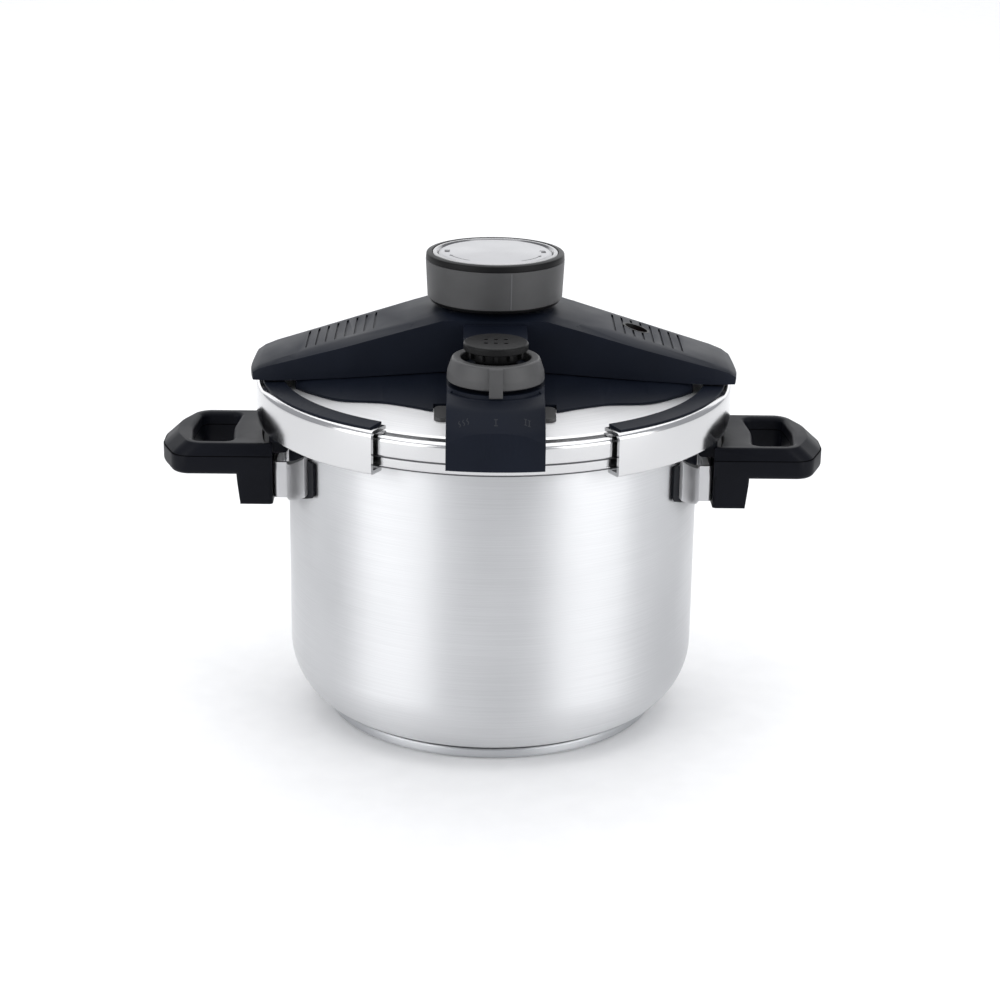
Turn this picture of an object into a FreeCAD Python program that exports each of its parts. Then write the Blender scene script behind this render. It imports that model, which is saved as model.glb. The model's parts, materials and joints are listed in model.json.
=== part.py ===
"""Stovetop pressure cooker whose lid is clamped by two jaws that a knob drives.

Millimetres, +Z up, origin at the centre of the base on the surface it stands on. The side
handles point along -X and +X, and the working valve stands at the front, towards -Y.
"""
import FreeCAD, Part
import math
import os

import Sketcher

Vector = FreeCAD.Vector
doc = FreeCAD.newDocument("pressure_cooker")
sheet = doc.addObject("Spreadsheet::Sheet", "Sizes")
sub_parts = []


# ---------------------------------------------------------------- sizes that know their expression
class Length:
    """A number together with the spreadsheet expression that it comes from."""

    def __init__(self, value, text):
        self.value = float(value)
        self.text = text

    def __add__(self, other):
        return Length(self.value + number(other), "(%s + %s)" % (self.text, words(other)))

    def __radd__(self, other):
        return self + other

    def __sub__(self, other):
        return Length(self.value - number(other), "(%s - %s)" % (self.text, words(other)))

    def __rsub__(self, other):
        return -self + other

    def __mul__(self, other):
        return Length(self.value * number(other), "(%s * %s)" % (self.text, words(other)))

    def __rmul__(self, other):
        return self * other

    def __truediv__(self, other):
        return Length(self.value / number(other), "(%s / %s)" % (self.text, words(other)))

    def __neg__(self):
        return Length(-self.value, "(-1 * %s)" % self.text)


def number(size):
    return size.value if isinstance(size, Length) else float(size)


def words(size):
    return size.text if isinstance(size, Length) else "(%.6f)" % size


def driving(name, value):
    """Add one driving size to the spreadsheet and return it."""
    row = str(driving.row)
    driving.row += 1
    sheet.set("A" + row, name.replace("_", " "))
    sheet.set("B" + row, str(value))
    sheet.setAlias("B" + row, name)
    return Length(value, "Sizes." + name)


driving.row = 1


def bind(thing, name, size):
    thing.setExpression(name, words(size))


# ---------------------------------------------------------------- sketches
def new_body(label):
    body = doc.addObject("PartDesign::Body", label)
    body.Label = label
    sub_parts.append(body)
    return body


def origin_plane(body, plane):
    return next(item for item in body.Origin.OriginFeatures if item.Role == plane + "_Plane")


def new_sketch(body, name, plane, offset=0):
    sketch = body.newObject("Sketcher::SketchObject", name)
    sketch.AttachmentSupport = [(origin_plane(body, plane), "")]
    sketch.MapMode = "FlatFace"
    bind(sketch, "AttachmentOffset.Base.z", offset)
    return sketch


class Draft:
    """Geometry and constraints of one sketch, added in one step when it is finished."""

    def __init__(self, sketch):
        self.sketch = sketch
        self.constraints = []
        self.sizes = {}

    def add(self, geometry, construction=False):
        return self.sketch.addGeometry(geometry, construction)

    def relate(self, *terms):
        self.constraints.append(Sketcher.Constraint(*terms))

    def measure(self, size, *terms):
        self.sizes[len(self.constraints)] = size
        self.relate(*terms, abs(number(size)))

    def pin(self, item, end, x, y):
        """Hold one point at x, y from the sketch's origin."""
        for kind, axis, size in (("DistanceX", -2, x), ("DistanceY", -1, y)):
            value = number(size)
            if abs(value) < 1e-9:
                self.relate("PointOnObject", item, end, axis)
            elif value > 0:
                self.measure(size, kind, -1, 1, item, end)
            else:
                self.measure(-size, kind, item, end, -1, 1)

    def finish(self):
        places = self.sketch.addConstraint(self.constraints)
        for place, size in self.sizes.items():
            if isinstance(size, Length):
                name = "size_%d" % place
                self.sketch.renameConstraint(places[place], name)
                bind(self.sketch, "Constraints." + name, size)


def draw_outline(draft, corners):
    """Draw a closed outline of corners (x, y) or, where the corner is rounded, (x, y, radius)."""
    count = len(corners)
    points = [Vector(number(corner[0]), number(corner[1]), 0) for corner in corners]
    enters, leaves, rounds = list(points), list(points), {}
    for place, corner in enumerate(corners):
        if len(corner) == 3:
            back = (points[place - 1] - points[place]).normalize()
            ahead = (points[(place + 1) % count] - points[place]).normalize()
            half_turn = back.getAngle(ahead) / 2
            radius = number(corner[2])
            enters[place] = points[place] + back * (radius / math.tan(half_turn))
            leaves[place] = points[place] + ahead * (radius / math.tan(half_turn))
            towards = (back + ahead).normalize()
            middle = points[place] + towards * (radius / math.sin(half_turn) - radius)
            left_turn = back.cross(ahead).z < 0
            ends = (enters[place], leaves[place]) if left_turn else (leaves[place], enters[place])
            rounds[place] = (Part.Arc(ends[0], middle, ends[1]), left_turn)
    lines = []
    for place in range(count):
        lines.append(draft.add(Part.LineSegment(leaves[place], enters[(place + 1) % count])))
    for place, corner in enumerate(corners):
        before, after = lines[place - 1], lines[place]
        if place not in rounds:
            draft.relate("Coincident", before, 2, after, 1)
            draft.pin(after, 1, corner[0], corner[1])
            continue
        geometry, starts_at_enter = rounds[place]
        arc = draft.add(geometry)
        tip = draft.add(Part.Point(points[place]), True)
        draft.relate("PointOnObject", tip, 1, before)
        draft.relate("PointOnObject", tip, 1, after)
        draft.pin(tip, 1, corner[0], corner[1])
        draft.relate("Tangent", before, 2, arc, 1 if starts_at_enter else 2)
        draft.relate("Tangent", after, 1, arc, 2 if starts_at_enter else 1)
        draft.measure(corner[2], "Radius", arc)


def draw_circle(draft, x, y, radius):
    centre = Vector(number(x), number(y), 0)
    ring = draft.add(Part.Circle(centre, Vector(0, 0, 1), number(radius)))
    draft.pin(ring, 3, x, y)
    draft.measure(radius, "Radius", ring)


def sketch_of(body, name, plane, offset, shapes):
    """A sketch of closed outlines (lists of corners) and circles (x, y, radius tuples)."""
    sketch = new_sketch(body, name + "_sketch", plane, offset)
    draft = Draft(sketch)
    for shape in shapes:
        if isinstance(shape, tuple):
            draw_circle(draft, *shape)
        else:
            draw_outline(draft, shape)
    draft.finish()
    return sketch


# ---------------------------------------------------------------- features
def slab(body, name, plane, shapes, low, high):
    """Pad shapes between two heights along the plane's world axis."""
    offset = -high if plane == "XZ" else low
    pad = body.newObject("PartDesign::Pad", name)
    pad.Profile = sketch_of(body, name, plane, offset, shapes)
    bind(pad, "Length", high - low)
    return pad


def cut(body, name, plane, shapes, low, high):
    """Pocket shapes between two heights along the plane's world axis."""
    doc.recompute()
    volume = body.Shape.Volume
    offset = -low if plane == "XZ" else high
    pocket = body.newObject("PartDesign::Pocket", name)
    pocket.Profile = sketch_of(body, name, plane, offset, shapes)
    bind(pocket, "Length", high - low)
    doc.recompute()
    if body.Shape.Volume > volume - 0.01:
        raise RuntimeError("%s cuts nothing from %s" % (name, body.Label))
    return pocket


def turned(body, name, outline, angle=360.0, kind="Revolution", plane="XZ", slide=0):
    """Turn an outline of (radius, height) corners about the vertical axis of its sketch."""
    feature = body.newObject("PartDesign::" + kind, name)
    sketch = sketch_of(body, name, plane, 0, [outline])
    bind(sketch, "AttachmentOffset.Base.x", slide)
    feature.Profile = sketch
    feature.ReferenceAxis = (sketch, ["V_Axis"])
    feature.Midplane = number(angle) < 360
    bind(feature, "Angle", angle)
    return feature


def groove(body, name, outline, angle=360.0, plane="XZ", slide=0):
    """Turn an outline away from the body, and make sure that it cuts."""
    doc.recompute()
    volume = body.Shape.Volume
    turned(body, name, outline, angle, "Groove", plane, slide)
    doc.recompute()
    if body.Shape.Volume > volume - 0.01:
        raise RuntimeError("%s cuts nothing from %s" % (name, body.Label))


def coil(label, radius, wire_radius, low, high, turns):
    """Round-wire compression spring about the vertical axis of its body."""
    body = new_body(label)
    helix = body.newObject("PartDesign::AdditiveHelix", label + "_helix")
    sketch = sketch_of(body, label, "XZ", 0, [(radius, low + wire_radius, wire_radius)])
    helix.Profile = sketch
    helix.ReferenceAxis = (sketch, ["V_Axis"])
    helix.Mode = "height-turns-angle"
    bind(helix, "Height", high - low - 2 * wire_radius)
    bind(helix, "Turns", turns)
    return body


def stand_at(piece, x=0, y=0):
    """Place a piece that is modelled about its own vertical axis."""
    bind(piece, "Placement.Base.x", x)
    bind(piece, "Placement.Base.y", y)


def lofted(body, name, sections, kind="AdditiveLoft", plane="YZ"):
    """Straight-sided loft through (distance, corners) sections that lie parallel to a plane."""
    sketches = []
    for place, (distance, corners) in enumerate(sections):
        sketches.append(sketch_of(body, "%s_%d" % (name, place), plane, distance, [corners]))
    loft = body.newObject("PartDesign::" + kind, name)
    loft.Profile = sketches[0]
    loft.Sections = sketches[1:]
    loft.Ruled = True
    return loft


def mirrored(body, name, features, plane):
    mirror = body.newObject("PartDesign::Mirrored", name)
    mirror.Originals = features
    mirror.MirrorPlane = (origin_plane(body, plane), [""])
    body.Tip = mirror
    return mirror


def around(body, name, features, count):
    pattern = body.newObject("PartDesign::PolarPattern", name)
    pattern.Originals = features
    axis = next(item for item in body.Origin.OriginFeatures if item.Role == "Z_Axis")
    pattern.Axis = (axis, [""])
    pattern.Angle = 360.0
    pattern.Occurrences = count
    body.Tip = pattern
    return pattern


def rounded(body, name, radius, wanted, kind="Fillet"):
    """Round, or chamfer, the edges of the body that wanted(edge) picks."""
    doc.recompute()
    base = body.Tip
    names = ["Edge%d" % (place + 1) for place, edge in enumerate(base.Shape.Edges) if wanted(edge)]
    feature = body.newObject("PartDesign::" + kind, name)
    feature.Base = (base, names)
    bind(feature, "Radius" if kind == "Fillet" else "Size", radius)
    doc.recompute()
    return feature


def edge_within(low, high, axis="z"):
    """A test for edges that lie wholly between two heights along one axis."""
    small, large = number(low) - 0.01, number(high) + 0.01

    def test(edge):
        box = edge.BoundBox
        spans = {"x": (box.XMin, box.XMax), "y": (box.YMin, box.YMax), "z": (box.ZMin, box.ZMax)}
        start, stop = spans[axis]
        return start > small and stop < large

    return test


def box_outline(x_low, x_high, y_low, y_high, radius=None):
    corners = [(x_low, y_low), (x_high, y_low), (x_high, y_high), (x_low, y_high)]
    return [corner + (radius,) for corner in corners] if radius is not None else corners


def cylinder(name, radius, base, height, x=0, y=0):
    """Upright cylinder."""
    piece = doc.addObject("Part::Cylinder", name)
    bind(piece, "Radius", radius)
    bind(piece, "Height", height)
    bind(piece, "Placement.Base.x", x)
    bind(piece, "Placement.Base.y", y)
    bind(piece, "Placement.Base.z", base)
    return piece


def rod(name, radius, x_low, x_high, y, z):
    """Cylinder along X."""
    piece = cylinder(name, radius, z, x_high - x_low, x_low, y)
    piece.Placement.Rotation = FreeCAD.Rotation(Vector(0, 1, 0), 90)
    return piece


def hexagon(name, across_corners, base, height):
    """Upright hexagonal prism."""
    piece = doc.addObject("Part::Prism", name)
    piece.Polygon = 6
    bind(piece, "Circumradius", across_corners / 2)
    bind(piece, "Height", height)
    bind(piece, "Placement.Base.z", base)
    return piece


def boolean(kind, name, base, tool):
    piece = doc.addObject("Part::" + kind, name)
    piece.Base = base
    piece.Tool = tool
    return piece


def nut(label, across_corners, hole_radius, base, height, x=0, y=0):
    """Hexagon nut."""
    block = hexagon(label + "_hexagon", across_corners, base, height)
    hole = cylinder(label + "_hole", hole_radius, base - 1, height + 2)
    node = boolean("Cut", label, block, hole)
    node.Label = label
    stand_at(node, x, y)
    sub_parts.append(node)
    return node


def group(label, pieces):
    """Separate solids that share one node."""
    node = doc.addObject("Part::Compound", label)
    node.Label = label
    node.Links = pieces
    sub_parts.append(node)
    return node


# ---------------------------------------------------------------- driving sizes
pot_radius = driving("pot_radius", 111.0)
sheet_steel = driving("sheet_steel", 1.0)
base_height = driving("base_height", 5.8)
base_radius = driving("base_radius", 90.8)
rim_radius = driving("rim_radius", 121.8)
rim_bottom = driving("rim_bottom", 167.4)
rim_top = driving("rim_top", 174.6)

lid_radius = driving("lid_radius", 123.3)
lid_skirt_bottom = driving("lid_skirt_bottom", 173.6)
lid_shoulder = driving("lid_shoulder", 184.0)
lid_crown = driving("lid_crown", 188.3)
lid_steel = driving("lid_steel", 1.1)

jaw_radius = driving("jaw_radius", 127.8)
jaw_bottom = driving("jaw_bottom", 164.3)
jaw_top = driving("jaw_top", 187.0)
jaw_steel = driving("jaw_steel", 2.0)
jaw_span = driving("jaw_span", 122.2)
jaw_lip_radius = driving("jaw_lip_radius", 117.6)
jaw_flange_radius = driving("jaw_flange_radius", 113.5)

arm_reach = driving("arm_reach", 130.4)
arm_crown = driving("arm_crown", 226.3)
arm_wall = driving("arm_wall", 2.6)
slot_half_width = driving("slot_half_width", 18.0)
rack_bottom = driving("rack_bottom", 191.2)
rack_height = driving("rack_height", 2.8)
pitch_radius = driving("pitch_radius", 9.0)
tooth_module = driving("tooth_module", 1.0)
knob_radius = driving("knob_radius", 37.0)
knob_bottom = driving("knob_bottom", 228.0)
knob_top = driving("knob_top", 251.4)

valve_y = driving("valve_y", -87.0)
tower_half_width = driving("tower_half_width", 24.6)
tower_front = driving("tower_front", 130.0)
tower_bottom = driving("tower_bottom", 172.3)
ring_radius = driving("ring_radius", 24.7)
ring_bottom = driving("ring_bottom", 208.2)
ring_top = driving("ring_top", 219.8)
cap_radius = driving("cap_radius", 16.5)
cap_top = driving("cap_top", 227.5)

handle_reach = driving("handle_reach", 178.6)
handle_half_width = driving("handle_half_width", 33.6)
handle_top = driving("handle_top", 155.4)
handle_bottom = driving("handle_bottom", 138.2)
handle_parting = driving("handle_parting", 148.1)
handle_inner = driving("handle_inner", 117.7)
leg_outer = driving("leg_outer", 137.0)
leg_bottom = driving("leg_bottom", 122.2)
bracket_top = driving("bracket_top", 145.0)
bracket_bottom = driving("bracket_bottom", 125.2)
bracket_steel = driving("bracket_steel", 2.0)

rivet_x = driving("rivet_x", 117.8)
rivet_y = driving("rivet_y", 12.5)
rivet_hole = driving("rivet_hole", 2.05)
rack_back = driving("rack_back", 16.2)
rack_end = driving("rack_end", 22.0)
tail_end = driving("tail_end", 122.0)
pinion_teeth = 18
pressure_angle = 20.0

tower_roof = driving("tower_roof", 206.0)
tower_back = driving("tower_back", 61.8)
neck_half_width = driving("neck_half_width", 16.5)
neck_back = driving("neck_back", 34.3)
collar_radius = driving("collar_radius", 18.0)
plate_half_width = driving("plate_half_width", 31.0)
plate_front = driving("plate_front", 90.0)
plate_back = driving("plate_back", 68.0)
plate_top = driving("plate_top", 188.1)

spindle_radius = driving("spindle_radius", 7.0)
spindle_bottom = driving("spindle_bottom", 200.05)
spindle_top = driving("spindle_top", 244.0)
spindle_neck = driving("spindle_neck", 6.0)

safety_x = driving("safety_x", -70.0)
indicator_x = driving("indicator_x", 76.5)
indicator_y = driving("indicator_y", 5.0)
doc.recompute()


# ---------------------------------------------------------------- pot
def make_pot_shell():
    """Drawn pot: flat bottom, two-radius corner, straight wall and a flared, curled rim."""
    body = new_body("pot_shell")
    wall = sheet_steel
    inner = pot_radius - wall
    channel_radius = rim_radius - wall
    curl_radius = rim_radius - 6
    turned(body, "shell", [
        (0, base_height),
        (pot_radius - 16.9, base_height, 24.5),
        (pot_radius, base_height + 19.1, 37.5),
        (pot_radius, rim_bottom, 1.5),
        (rim_radius, rim_bottom, 1.6),
        (rim_radius, rim_top, 1.6),
        (curl_radius, rim_top, 0.8),
        (curl_radius, rim_top - 3),
        (curl_radius + wall, rim_top - 3),
        (curl_radius + wall, rim_top - wall),
        (channel_radius, rim_top - wall, 0.6),
        (channel_radius, rim_bottom + wall, 0.6),
        (inner, rim_bottom + wall, 2.0),
        (inner, base_height + 19.5, 36.5),
        (pot_radius - 17.35, base_height + wall, 23.5),
        (0, base_height + wall),
    ])


def make_base():
    """Aluminium heat core in a shallow steel cap, under the pot's bottom."""
    wall = sheet_steel * 0.8
    cap = new_body("base_cap")
    turned(cap, "cap", [
        (0, 0),
        (base_radius, 0, 1.2),
        (base_radius, base_height),
        (base_radius - wall, base_height),
        (base_radius - wall, wall),
        (0, wall),
    ])
    core = cylinder("base_core", base_radius - wall - 0.05, wall, base_height - wall)
    core.Label = "base_core"
    sub_parts.append(core)


# ---------------------------------------------------------------- side handles
bracket_half_width = driving("bracket_half_width", 31.0)
bracket_plate = driving("bracket_plate", 115.6)
weld_y = driving("weld_y", 41.0)
weld_z = driving("weld_z", 140.0)
handle_screw_y = driving("handle_screw_y", 14.0)
handle_screw_z = driving("handle_screw_z", 133.0)
pad_thickness = driving("pad_thickness", 1.6)


def span(side, near, far):
    """The low and high end of an X range that lies on one side of the pot."""
    return (side * near, side * far) if side > 0 else (side * far, side * near)


def make_pad(name, side):
    """Insulating pad, bent to the pot wall, under each flange of the bracket."""
    body = new_body(name + "_handle_pad")
    inner, outer = pot_radius + 0.05, pot_radius + pad_thickness - 0.05
    turned(body, name + "_ring", [
        (side * inner, bracket_bottom),
        (side * outer, bracket_bottom),
        (side * outer, bracket_top + 9),
        (side * inner, bracket_top + 9),
    ], 66.8)
    middle = bracket_half_width - 3
    low, high = span(side, 80.0, 130.0)
    cut(body, name + "_pad_gap", "XY", [box_outline(low, high, -middle, middle)],
        bracket_bottom - 1, bracket_top + 10)
    slope = [(side * 94.5, 135.0), (side * 88.0, 146.0), (side * 88.0, 120.0), (side * 118.0, 120.0)]
    cut(body, name + "_pad_corner", "XZ", [slope], -80.0, 80.0)
    holes = [(y, weld_z, 3.0) for y in (-weld_y, weld_y)]
    cut(body, name + "_pad_holes", "YZ", holes, low, high)
    return body


def make_weld_studs(name, side):
    """Studs that carry the bracket on the pot wall through the pad."""
    studs = []
    low, high = span(side, 90.0, 118.0)
    band_low, band_height = 120.0, 40.0
    for place, y in enumerate((-weld_y, weld_y)):
        stud = rod("%s_stud_%d" % (name, place), 2.9, low, high, y, weld_z)
        outside = cylinder("%s_outside_%d" % (name, place), pot_radius + pad_thickness - 0.02,
                           band_low, band_height)
        inside = cylinder("%s_inside_%d" % (name, place), pot_radius + 0.02, band_low, band_height)
        wall = boolean("Cut", "%s_wall_%d" % (name, place), outside, inside)
        studs.append(boolean("Common", "%s_weld_%d" % (name, place), stud, wall))
    group(name + "_weld_studs", studs)


def make_bracket(name, side):
    """Bent steel strip: two flanges on the pot, two arms and the plate in the handle's leg."""
    body = new_body(name + "_bracket")
    inner, outer = pot_radius + pad_thickness, pot_radius + pad_thickness + bracket_steel
    turned(body, name + "_flanges", [
        (side * inner, bracket_bottom - 4),
        (side * outer, bracket_bottom - 4),
        (side * outer, bracket_top + 12),
        (side * inner, bracket_top + 12),
    ], 60.4)
    gap = bracket_half_width - bracket_steel
    low, high = span(side, 80.0, 130.0)
    cut(body, name + "_flange_gap", "XY", [box_outline(low, high, -gap, gap)],
        bracket_bottom - 5, bracket_top + 13)
    plate = side * bracket_plate
    back = side * (bracket_plate + bracket_steel)
    arm = side * 109.0
    slab(body, name + "_strip", "XY", [[
        (arm, -bracket_half_width),
        (back, -bracket_half_width, 3.0),
        (back, bracket_half_width, 3.0),
        (arm, bracket_half_width),
        (arm, gap),
        (plate, gap, 1.0),
        (plate, -gap, 1.0),
        (arm, -gap),
    ]], bracket_bottom - 4, bracket_top + 12)
    bend, tip = side * 109.0, side * 94.0
    outer_end = side * 130.0
    above = [(bend, bracket_top), (outer_end, bracket_top), (outer_end, 175.0), (tip, 175.0),
             (tip, bracket_top + 15.8)]
    below = [(bend, bracket_bottom), (outer_end, bracket_bottom), (outer_end, 110.0), (tip, 110.0),
             (tip, bracket_bottom + 13.3)]
    cut(body, name + "_strip_edges", "XZ", [above, below], -80.0, 80.0)
    holes = [(y, handle_screw_z, 2.05) for y in (-handle_screw_y, handle_screw_y)]
    low, high = span(side, bracket_plate - 1, bracket_plate + bracket_steel + 1)
    cut(body, name + "_screw_holes", "YZ", holes, low, high)
    return body


def grip_outline(side, side_inset=0, end_inset=0):
    """Outline of the grip from above, drawn in by the insets."""
    width = handle_half_width - side_inset
    reach = handle_reach - end_inset
    return [
        (side * handle_inner, -width),
        (side * (reach - 9.0), -width, 11.0),
        (side * reach, -10.0, 30.0),
        (side * reach, 10.0, 30.0),
        (side * (reach - 9.0), width, 11.0),
        (side * handle_inner, width),
    ]


def make_handle(name, side):
    """Moulded grip with a finger slot, a leg down to the bracket and a lug along the pot wall."""
    body = new_body(name + "_handle")
    width = handle_half_width
    slab(body, name + "_grip", "XY", [grip_outline(side)], handle_bottom, handle_parting)
    rounded(body, name + "_under_edge", 3.0, outer_under_edge(side))
    lofted(body, name + "_shoulder", [
        (handle_parting, grip_outline(side)),
        (handle_top, grip_outline(side, 2.2, 8.0)),
    ], plane="XY")
    rounded(body, name + "_top_edge", 1.2, edge_within(handle_top, handle_top))
    slab(body, name + "_leg", "XY", [box_outline(*span(side, handle_inner, leg_outer), -width, width, 2.0)],
         leg_bottom, handle_bottom + 4)
    taper = [
        (side * (leg_outer - 2.0), leg_bottom - 0.1),
        (side * (leg_outer + 1.0), leg_bottom - 0.1),
        (side * (leg_outer + 1.0), handle_bottom - 0.5),
        (side * (leg_outer + 0.02), handle_bottom - 0.5),
    ]
    cut(body, name + "_leg_taper", "XZ", [taper], -width - 1, width + 1)
    cut(body, name + "_slot", "XY", [[
        (side * 138.8, -25.8, 5.0),
        (side * 160.2, -25.8, 5.0),
        (side * 162.8, 0, 60.0),
        (side * 160.2, 25.8, 5.0),
        (side * 138.8, 25.8, 5.0),
        (side * 141.0, 0, 60.0),
    ]], handle_bottom - 1, handle_top + 1)
    lug_low, lug_high = handle_top - 6, handle_top + 6
    turned(body, name + "_lug", [
        (side * (pot_radius + 1.9), lug_low, 2.0),
        (side * 123.0, lug_low),
        (side * 123.0, lug_high, 1.2),
        (side * (pot_radius + 1.9), lug_high, 1.2),
    ], 28.0)
    groove(body, name + "_trough", [
        (side * 121.5, lug_high + 2),
        (side * 121.5, handle_top - 2.5),
        (side * 124.0, handle_top - 2.5),
        (side * 129.0, lug_high + 2),
    ], 27.0)
    rounded(body, name + "_slot_edge", 2.6, slot_top_edge(side))
    shank_low, shank_high = span(side, 116.0, leg_outer + 2)
    head_low, head_high = span(side, 131.0, leg_outer + 2)
    places = [(y, handle_screw_z) for y in (-handle_screw_y, handle_screw_y)]
    cut(body, name + "_screw_bores", "YZ", [place + (2.1,) for place in places], shank_low, shank_high)
    cut(body, name + "_head_bores", "YZ", [place + (3.9,) for place in places], head_low, head_high)
    return body


def outer_under_edge(side):
    """A test for the grip's outer edges on its underside."""

    def test(edge):
        box = edge.BoundBox
        outermost = max(side * box.XMin, side * box.XMax)
        innermost = min(side * box.XMin, side * box.XMax)
        low_enough = box.ZMax < number(handle_bottom) + 0.01
        return low_enough and outermost > number(leg_outer) + 5 and innermost > number(leg_outer)

    return test


def slot_top_edge(side):
    """A test for the edges round the top of the finger slot."""

    def test(edge):
        box = edge.BoundBox
        innermost = min(side * box.XMin, side * box.XMax)
        outermost = max(side * box.XMin, side * box.XMax)
        level = abs(box.ZMin - number(handle_top)) < 0.01 and box.ZLength < 0.01
        inside = max(abs(box.YMin), abs(box.YMax)) < 26.5
        return level and inside and innermost > 138.0 and outermost < 166.0

    return test


def make_handle_screws(name, side):
    """Socket screws from the leg's outer face into the bracket's plate."""
    screws = []
    for place, y in enumerate((-handle_screw_y, handle_screw_y)):
        head = rod("%s_screw_head_%d" % (name, place), 3.5, *span(side, 131.05, 134.0), y, handle_screw_z)
        shank = rod("%s_screw_shank_%d" % (name, place), 2.0, *span(side, 116.2, 131.5), y, handle_screw_z)
        socket = rod("%s_screw_socket_%d" % (name, place), 1.6, *span(side, 132.2, 136.0), y,
                     handle_screw_z)
        screw = boolean("Fuse", "%s_screw_solid_%d" % (name, place), head, shank)
        screws.append(boolean("Cut", "%s_screw_%d" % (name, place), screw, socket))
    group(name + "_handle_screws", screws)


# ---------------------------------------------------------------- lid
valve_hole = driving("valve_hole", 7.5)
safety_hole = driving("safety_hole", 5.0)
indicator_hole = driving("indicator_hole", 4.0)
stud_radius = driving("stud_radius", 5.0)


def lid_surface(lift):
    """Corners of the lid's upper surface, raised by lift, from the axis to the skirt."""
    return [
        (0, lid_crown + lift),
        (90.0, lid_crown - 2.1 + lift, 150.0),
        (113.6, lid_shoulder + 0.6 + lift),
        (115.3, lid_shoulder + lift),
    ]


def below_lid():
    """Outline of everything under a piece that rests on the lid."""
    return lid_surface(0.05) + [(130.0, lid_shoulder), (130.0, 170.0), (0, 170.0)]


def make_lid_pan():
    """Pressed lid: shallow dome, step line, rolled shoulder and a short skirt."""
    body = new_body("lid_pan")
    outside = lid_surface(0) + [(lid_radius, lid_shoulder, 2.8), (lid_radius, lid_skirt_bottom)]
    inside = [(lid_radius - lid_steel, lid_skirt_bottom),
              (lid_radius - lid_steel, lid_shoulder - lid_steel, 1.7),
              (115.0, lid_shoulder - lid_steel),
              (113.3, lid_shoulder + 0.6 - lid_steel),
              (90.0, lid_crown - 2.1 - lid_steel, 149.0),
              (0, lid_crown - lid_steel)]
    turned(body, "pan", outside + inside)
    holes = [
        (0, 0, stud_radius),
        (0, valve_y, valve_hole),
        (safety_x, 0, safety_hole),
        (indicator_x, indicator_y, indicator_hole),
    ]
    cut(body, "lid_holes", "XY", holes, 180.0, 195.0)


def make_gasket():
    """Lipped sealing ring in the lid's channel, just above the pot's rim."""
    body = new_body("sealing_gasket")
    top = lid_shoulder - lid_steel - 0.2
    bottom = rim_top + 0.35
    outer = lid_radius - lid_steel - 0.2
    turned(body, "gasket", [
        (113.4, top),
        (outer, top, 1.8),
        (outer, bottom, 0.8),
        (113.6, bottom, 0.5),
        (112.2, bottom + 1.8, 0.4),
        (118.5, bottom + 2.2, 0.5),
        (118.5, top - 2.2, 0.5),
        (113.4, top - 1.6),
    ])


# Stations along the arm: x, half width and height of the lower edge, half width and height of
# the bevel's lower edge, half width and height of the flat top.
ARM_STATIONS = [
    (0, 33.9, 197.0, 33.4, 223.9, 25.0, 226.3),
    (27.4, 33.9, 196.6, 33.4, 223.9, 24.4, 226.3),
    (46.0, 33.9, 195.2, 32.9, 218.6, 23.5, 220.7),
    (79.0, 32.3, 192.3, 31.3, 208.6, 22.3, 210.7),
    (104.5, 29.4, 190.0, 28.2, 201.1, 21.4, 202.9),
    (118.0, 28.0, 189.3, 26.6, 197.2, 21.4, 198.7),
    (124.5, 27.2, 189.3, 25.6, 194.9, 20.6, 196.2),
    (128.4, 26.8, 189.3, 24.8, 192.6, 19.8, 193.6),
    (130.4, 26.4, 189.3, 24.4, 190.2, 19.4, 190.9),
]


def arm_section(station, wall=0.0):
    """Across the arm at one station; a wall gives the space inside, open at the bottom."""
    x, low_width, low, bevel_width, bevel, top_width, top = station
    if wall:
        low -= 12.0
    corners = [
        (-low_width + wall, low),
        (low_width - wall, low),
        (bevel_width - wall, bevel - wall * 0.7),
        (top_width - wall * 0.4, top - wall),
        (-top_width + wall * 0.4, top - wall),
        (-bevel_width + wall, bevel - wall * 0.7),
    ]
    return corners


screw_x = driving("screw_x", 40.0)
screw_y = driving("screw_y", 25.0)


def arm_screw_places():
    return [(x, y) for x in (-screw_x, screw_x) for y in (-screw_y, screw_y)]


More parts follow.
